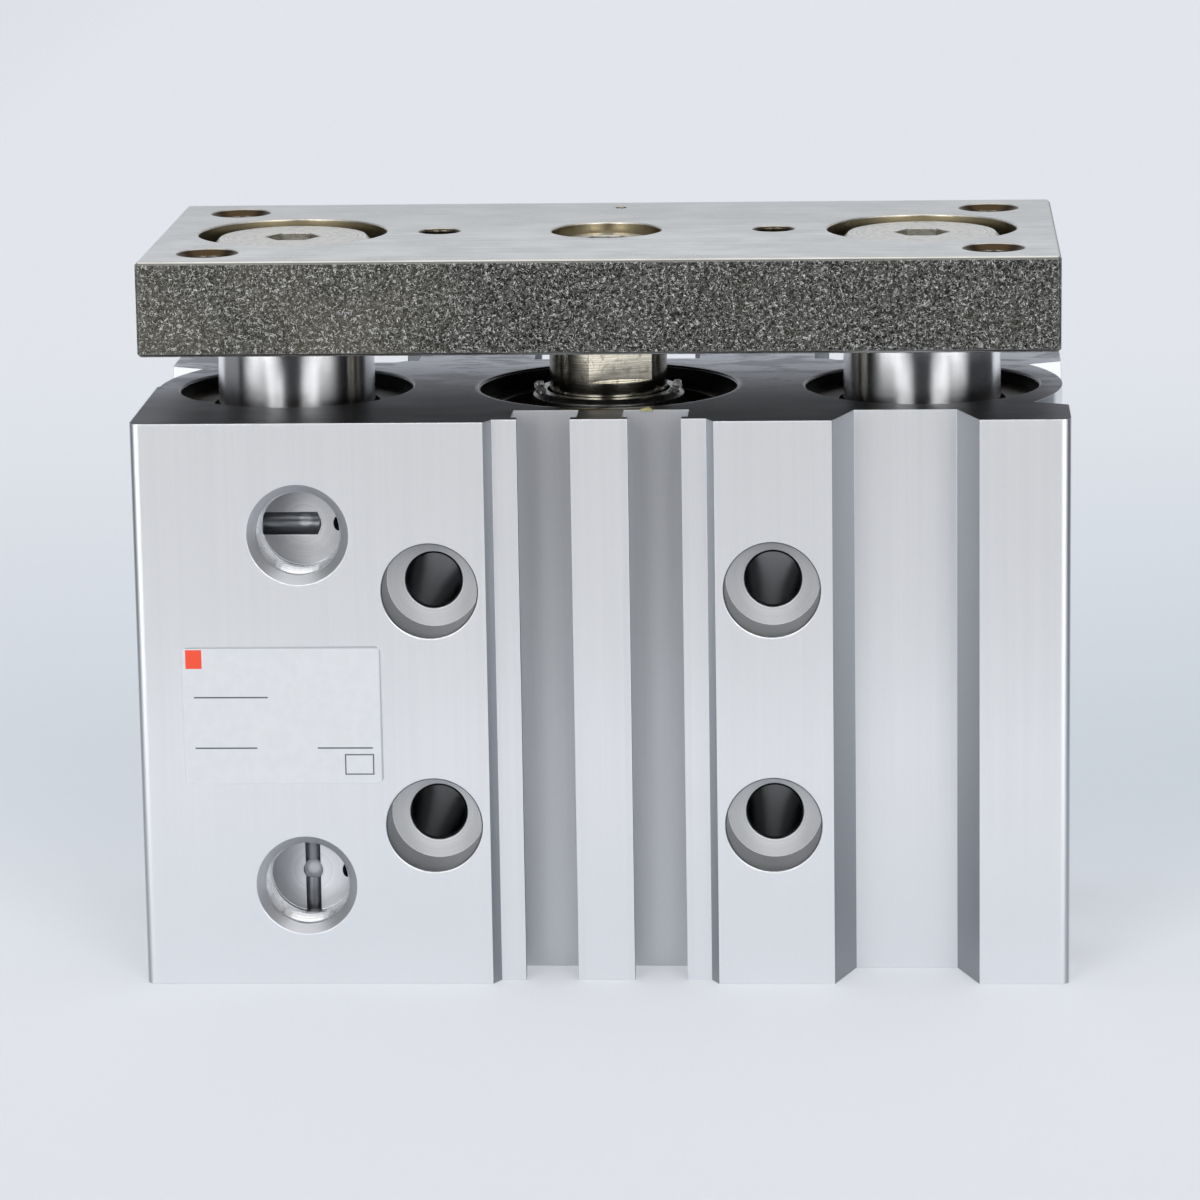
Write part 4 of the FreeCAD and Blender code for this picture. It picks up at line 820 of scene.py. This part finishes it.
def label_film():
    """White printed film: one plain red square, thin rules, an empty frame, and a painted shade
    line along its top and right edges.
    """
    f = Finish("label_film")
    across = f.maths("SUBTRACT", f.x, LABEL_CENTRE.x)
    down = f.maths("SUBTRACT", LABEL_CENTRE.z, f.z)

    def bar(left, top, width, height):
        """A printed block, placed from the label's top left corner."""
        x = left + width / 2 - LABEL_WIDTH / 2
        z = top + height / 2 - LABEL_HEIGHT / 2
        in_x = f.within(f.away(across, x), width / 2, 0.03)
        in_z = f.within(f.away(down, z), height / 2, 0.03)
        return f.times(in_x, in_z)

    square = bar(0.35, 0.3, 1.6, 1.9)
    frame_line = f.times(bar(16.1, 11.0, 2.9, 2.1), f.invert(bar(16.23, 11.13, 2.64, 1.84)))
    rules = f.most(bar(1.1, 5.1, 7.4, 0.12), bar(1.1, 10.3, 6.2, 0.12), bar(13.4, 10.3, 5.5, 0.12))
    # Painted shade: a thin grey line inside the label's top and right edges.
    rim = f.most(
        f.smooth(across, LABEL_WIDTH / 2 - 0.2, LABEL_WIDTH / 2 - 0.12),
        f.smooth(down, 0.2 - LABEL_HEIGHT / 2, 0.12 - LABEL_HEIGHT / 2),
    )
    mottle = f.noise(f.at, 0.8, 3.0, 0.6)
    colour = f.blend(f.smooth(mottle, 0.35, 0.65), rgb(200, 203, 206), rgb(203, 206, 209))
    colour = f.blend(f.times(rim, 0.8), colour, rgb(150, 152, 156))
    colour = f.blend(f.times(f.most(rules, frame_line), 0.9), colour, rgb(38, 40, 46))
    colour = f.blend(square, colour, rgb(226, 76, 50))
    f.set(base_color=colour, roughness=f.lerp(mottle, 0.34, 0.46))
    f.relief(mottle, 0.004)
    return f.material


def build_label(material):
    """A thin label with rounded corners, stuck on the front face."""
    front = box_mm("body")[0].y
    half_x = LABEL_WIDTH / 2 - LABEL_CORNER
    half_z = LABEL_HEIGHT / 2 - LABEL_CORNER
    outline = []
    for x_sign, z_sign, start in ((1, 1, 0), (-1, 1, 90), (-1, -1, 180), (1, -1, 270)):
        for degrees in range(start, start + 91, 15):
            turn = math.radians(degrees)
            x = x_sign * half_x + math.cos(turn) * LABEL_CORNER
            z = z_sign * half_z + math.sin(turn) * LABEL_CORNER
            tilted_x = x * math.cos(LABEL_TILT) - z * math.sin(LABEL_TILT)
            tilted_z = x * math.sin(LABEL_TILT) + z * math.cos(LABEL_TILT)
            outline.append((LABEL_CENTRE.x + tilted_x, LABEL_CENTRE.z + tilted_z))
    count = len(outline)
    points = [(x, front - LABEL_THICKNESS, z) for x, z in outline]
    points += [(x, front + LABEL_SINK, z) for x, z in outline]
    faces = [tuple(range(count)), tuple(reversed(range(count, 2 * count)))]
    for i in range(count):
        after = (i + 1) % count
        faces.append((after, i, i + count, after + count))
    make_piece("label", points, faces, material, "housing", "anodised_aluminium", smooth=False)


def grease(name, thin, thick, clear):
    """A blob of grease: see-through where clear, waxy where not."""
    f = Finish(name)
    tone = f.noise(f.at, 1.2, 3.0, 0.6)
    f.set(base_color=f.blend(tone, rgb(*thin), rgb(*thick)), roughness=f.lerp(tone, 0.06, 0.2))
    f.set(transmission_weight=clear, ior=1.46)
    f.relief(tone, 0.05)
    return f.material


BLOB_RINGS = 7
BLOB_SIDES = 18
BLOB_REACH = 0.62  # of the way from the top of a ball to its bottom


def blob_point(centre, size, aim, spread, swell):
    """A point on a blob, out from its centre by its size, the aim and the swell."""
    return (
        centre[0] + aim.x * spread * size[0] * swell,
        centre[1] + aim.y * spread * size[1] * swell,
        centre[2] + aim.z * size[2] * swell,
    )


def build_blob(name, centre, size, seed, material):
    """A low lump with an uneven outline, sunk a little into what it sits on."""
    points = [(centre[0], centre[1], centre[2] + size[2])]
    shift = Vector((seed * 3.7, seed * 1.3, 0.0))
    for ring in range(1, BLOB_RINGS + 1):
        lean = math.pi * BLOB_REACH * ring / BLOB_RINGS
        for side in range(BLOB_SIDES):
            turn = side / BLOB_SIDES * math.tau
            aim = Vector((math.cos(turn), math.sin(turn), math.cos(lean)))
            broad = noise.noise(aim * 1.3 + shift)
            fine = noise.noise(aim * 3.1 + shift)
            swell = 1.0 + 0.45 * broad + 0.15 * fine
            points.append(blob_point(centre, size, aim, math.sin(lean), swell))
    faces = []
    for side in range(BLOB_SIDES):
        after = (side + 1) % BLOB_SIDES
        faces.append((0, 1 + side, 1 + after))
        for ring in range(BLOB_RINGS - 1):
            base = 1 + ring * BLOB_SIDES
            below = base + BLOB_SIDES
            faces.append((base + side, below + side, below + after, base + after))
    base = 1 + (BLOB_RINGS - 1) * BLOB_SIDES
    faces.append(tuple(base + side for side in range(BLOB_SIDES - 1, -1, -1)))
    make_piece(name, points, faces, material, "housing", "cover_alloy")


# Dabs round the boss: an angle in degrees, then length, width and height in millimetres.
BOSS_GREASE_R = 7.1
BOSS_GREASE = (
    (172, 0.6, 1.0, 0.55),
    (198, 0.5, 0.8, 0.4),
    (10, 0.55, 0.9, 0.5),
    (-18, 0.55, 0.7, 0.35),
    (-58, 0.4, 0.4, 0.2),
)


def build_grease():
    """Clear grease that the rod has wiped on to its boss, and darker dabs on the front edge."""
    clear = grease("clear_grease", (232, 230, 222), (246, 245, 240), 0.92)
    waxy = grease("waxy_grease", (168, 162, 92), (226, 222, 166), 0.25)
    dirty = grease("dirty_grease", (52, 48, 22), (96, 88, 44), 0.2)
    boss = box_mm("rod_cover")[1].z
    top = box_mm("body")[1].z
    for seed, (degrees, *size) in enumerate(BOSS_GREASE):
        turn = math.radians(degrees)
        place = (BOSS_GREASE_R * math.cos(turn), BOSS_GREASE_R * math.sin(turn), boss)
        build_blob(f"boss_grease_{seed + 1}", place, size, seed, clear)
    build_blob("front_grease_1", (4.5, -14.35, top), (0.62, 0.36, 0.24), 11, waxy)
    build_blob("front_grease_2", (-1.2, -13.95, top), (3.1, 0.16, 0.07), 12, dirty)
    build_blob("front_grease_3", (2.9, -14.1, top), (1.3, 0.14, 0.06), 15, dirty)


# ---------------------------------------------------------------- stage


FLOOR_COLOUR = rgb(222, 225, 231)
FLOOR_HALF_WIDTH = 220.0
FLOOR_FRONT = -160.0
FLOOR_BACK = 1150.0
FLOOR_FADE = 60.0


def build_floor():
    """A pale sheet that fades out at its rim, so that no edge of it shows."""
    low = Vector((-FLOOR_HALF_WIDTH, FLOOR_FRONT, 0.0)) * MM
    high = Vector((FLOOR_HALF_WIDTH, FLOOR_BACK, 0.0)) * MM
    mesh = bpy.data.meshes.new("floor")
    corners = [(low.x, low.y, 0), (high.x, low.y, 0), (high.x, high.y, 0), (low.x, high.y, 0)]
    mesh.from_pydata(corners, [], [(0, 1, 2, 3)])
    floor = bpy.data.objects.new("floor", mesh)
    bpy.context.scene.collection.objects.link(floor)

    f = Finish("floor_paper")
    # Painted shadow: a soft darker band behind the object, deeper to the right.
    painted_shadow = f.times(f.smooth(f.y, -25.0, 60.0), f.smooth(f.y, 380.0, 90.0))
    painted_shadow = f.times(painted_shadow, f.smooth(f.x, -160.0, 120.0, 0.6, 1.0))
    tone = f.blend(painted_shadow, FLOOR_COLOUR, rgb(206, 214, 222))
    half = f.blend(0.5, tone, (0.0, 0.0, 0.0, 1.0))
    f.set(base_color=half, emission_color=half, emission_strength=0.91, roughness=0.9)
    side = f.smooth(f.away(f.x, 0.0), FLOOR_HALF_WIDTH - FLOOR_FADE, FLOOR_HALF_WIDTH)
    front = f.smooth(f.y, FLOOR_FRONT + FLOOR_FADE, FLOOR_FRONT)
    back = f.smooth(f.y, FLOOR_BACK - FLOOR_FADE, FLOOR_BACK)
    f.set(alpha=f.invert(f.most(side, front, back)))
    mesh.materials.append(f.material)


# How bright the studio is, as linear colours.
DIM_GAP = (0.05, 0.05, 0.055, 1.0)
LEFT_WALL = (0.22, 0.225, 0.235, 1.0)
CEILING = (1.6, 1.6, 1.61, 1.0)
SOFT_BOX_LOW = (1.85, 1.85, 1.87, 1.0)
SOFT_BOX_HIGH = (0.95, 0.95, 0.96, 1.0)
KEY_LAMP = (5.2, 5.2, 5.25, 1.0)


def build_world():
    """A pale studio: soft boxes left and right of the camera, a dim gap between them."""
    world = bpy.data.worlds.new("studio")
    bpy.context.scene.world = world
    world.use_nodes = True
    s = Shade(world.node_tree)
    s.tree.nodes.clear()
    towards = s.add("TexCoord").outputs["Generated"]
    x, y, z = s.split(towards)
    # Directions in degrees: turn is 0 towards the front and grows to the right, level is
    # 0 along the floor and grows upwards.
    turn = s.maths("ARCTAN2", x, s.maths("MULTIPLY", y, -1.0))
    turn = s.maths("MULTIPLY", turn, 180 / math.pi)
    level = s.maths("MULTIPLY", s.maths("ARCSINE", z), 180 / math.pi)

    band = s.between(level, -40.0, 30.0, 8.0)
    left_box = s.times(s.smooth(turn, -84.0, -54.0), s.smooth(turn, -13.0, -40.0), band)
    right_box = s.times(s.smooth(turn, 9.0, 36.0), s.smooth(turn, 76.0, 50.0), band)
    aside = s.away(turn, 0.0)
    key_box = s.times(s.between(aside, 14.0, 38.0, 4.0), s.between(level, 8.0, 46.0, 6.0))
    top = s.smooth(level, 46.0, 62.0)
    behind = s.smooth(aside, 122.0, 134.0)

    base = s.blend(behind, DIM_GAP, FLOOR_COLOUR)
    base = s.blend(s.between(turn, -140.0, -88.0, 4.0), base, LEFT_WALL)
    base = s.blend(top, base, CEILING)
    soft_box = s.blend(s.smooth(level, -6.0, 9.0), SOFT_BOX_LOW, SOFT_BOX_HIGH)
    base = s.blend(left_box, base, soft_box)
    base = s.blend(right_box, base, soft_box)
    studio = s.blend(key_box, base, KEY_LAMP)

    path = s.add("LightPath")
    seen = s.most(path.outputs["Is Camera Ray"], path.outputs["Is Transmission Ray"])
    glossy_behind = s.times(path.outputs["Is Glossy Ray"], behind)
    colour = s.blend(s.most(seen, glossy_behind), studio, FLOOR_COLOUR)
    background = s.add("Background", {"Color": colour, "Strength": 1.0})
    output = s.add("OutputWorld")
    s.tree.links.new(background.outputs[0], output.inputs[0])


# The camera's place in millimetres, and its angles in radians.
CAMERA_PLACE = Vector((29.1033, -529.7517, 150.4297))
CAMERA_PITCH = 0.2142
CAMERA_TURN = 0.0572
CAMERA_ROLL = -0.0157
CAMERA_SENSOR = 36.0
CAMERA_LENS = 157.89


def camera_axes():
    """The camera's right, up and backward vectors, as the columns of a matrix."""
    cos_pitch = math.cos(CAMERA_PITCH)
    forward = Vector((
        -math.sin(CAMERA_TURN) * cos_pitch,
        math.cos(CAMERA_TURN) * cos_pitch,
        -math.sin(CAMERA_PITCH),
    ))
    right = Vector((math.cos(CAMERA_TURN), math.sin(CAMERA_TURN), 0.0))
    up = right.cross(forward)
    rolled_right = math.cos(CAMERA_ROLL) * right + math.sin(CAMERA_ROLL) * up
    rolled_up = math.cos(CAMERA_ROLL) * up - math.sin(CAMERA_ROLL) * right
    return Matrix((rolled_right, rolled_up, -forward)).transposed()


def build_camera():
    """The camera stands half a metre in front, a little right of the middle, and looks down."""
    data = bpy.data.cameras.new("camera")
    data.sensor_width = CAMERA_SENSOR
    data.lens = CAMERA_LENS
    data.clip_start = 0.01
    data.clip_end = 10.0
    camera = bpy.data.objects.new("camera", data)
    camera.matrix_world = Matrix.Translation(CAMERA_PLACE * MM) @ camera_axes().to_4x4()
    bpy.context.scene.collection.objects.link(camera)
    bpy.context.scene.camera = camera


bpy.context.scene.view_settings.view_transform = "Standard"
dress_nodes()
build_threads()
build_label(label_film())
build_grease()
build_floor()
build_world()
build_camera()
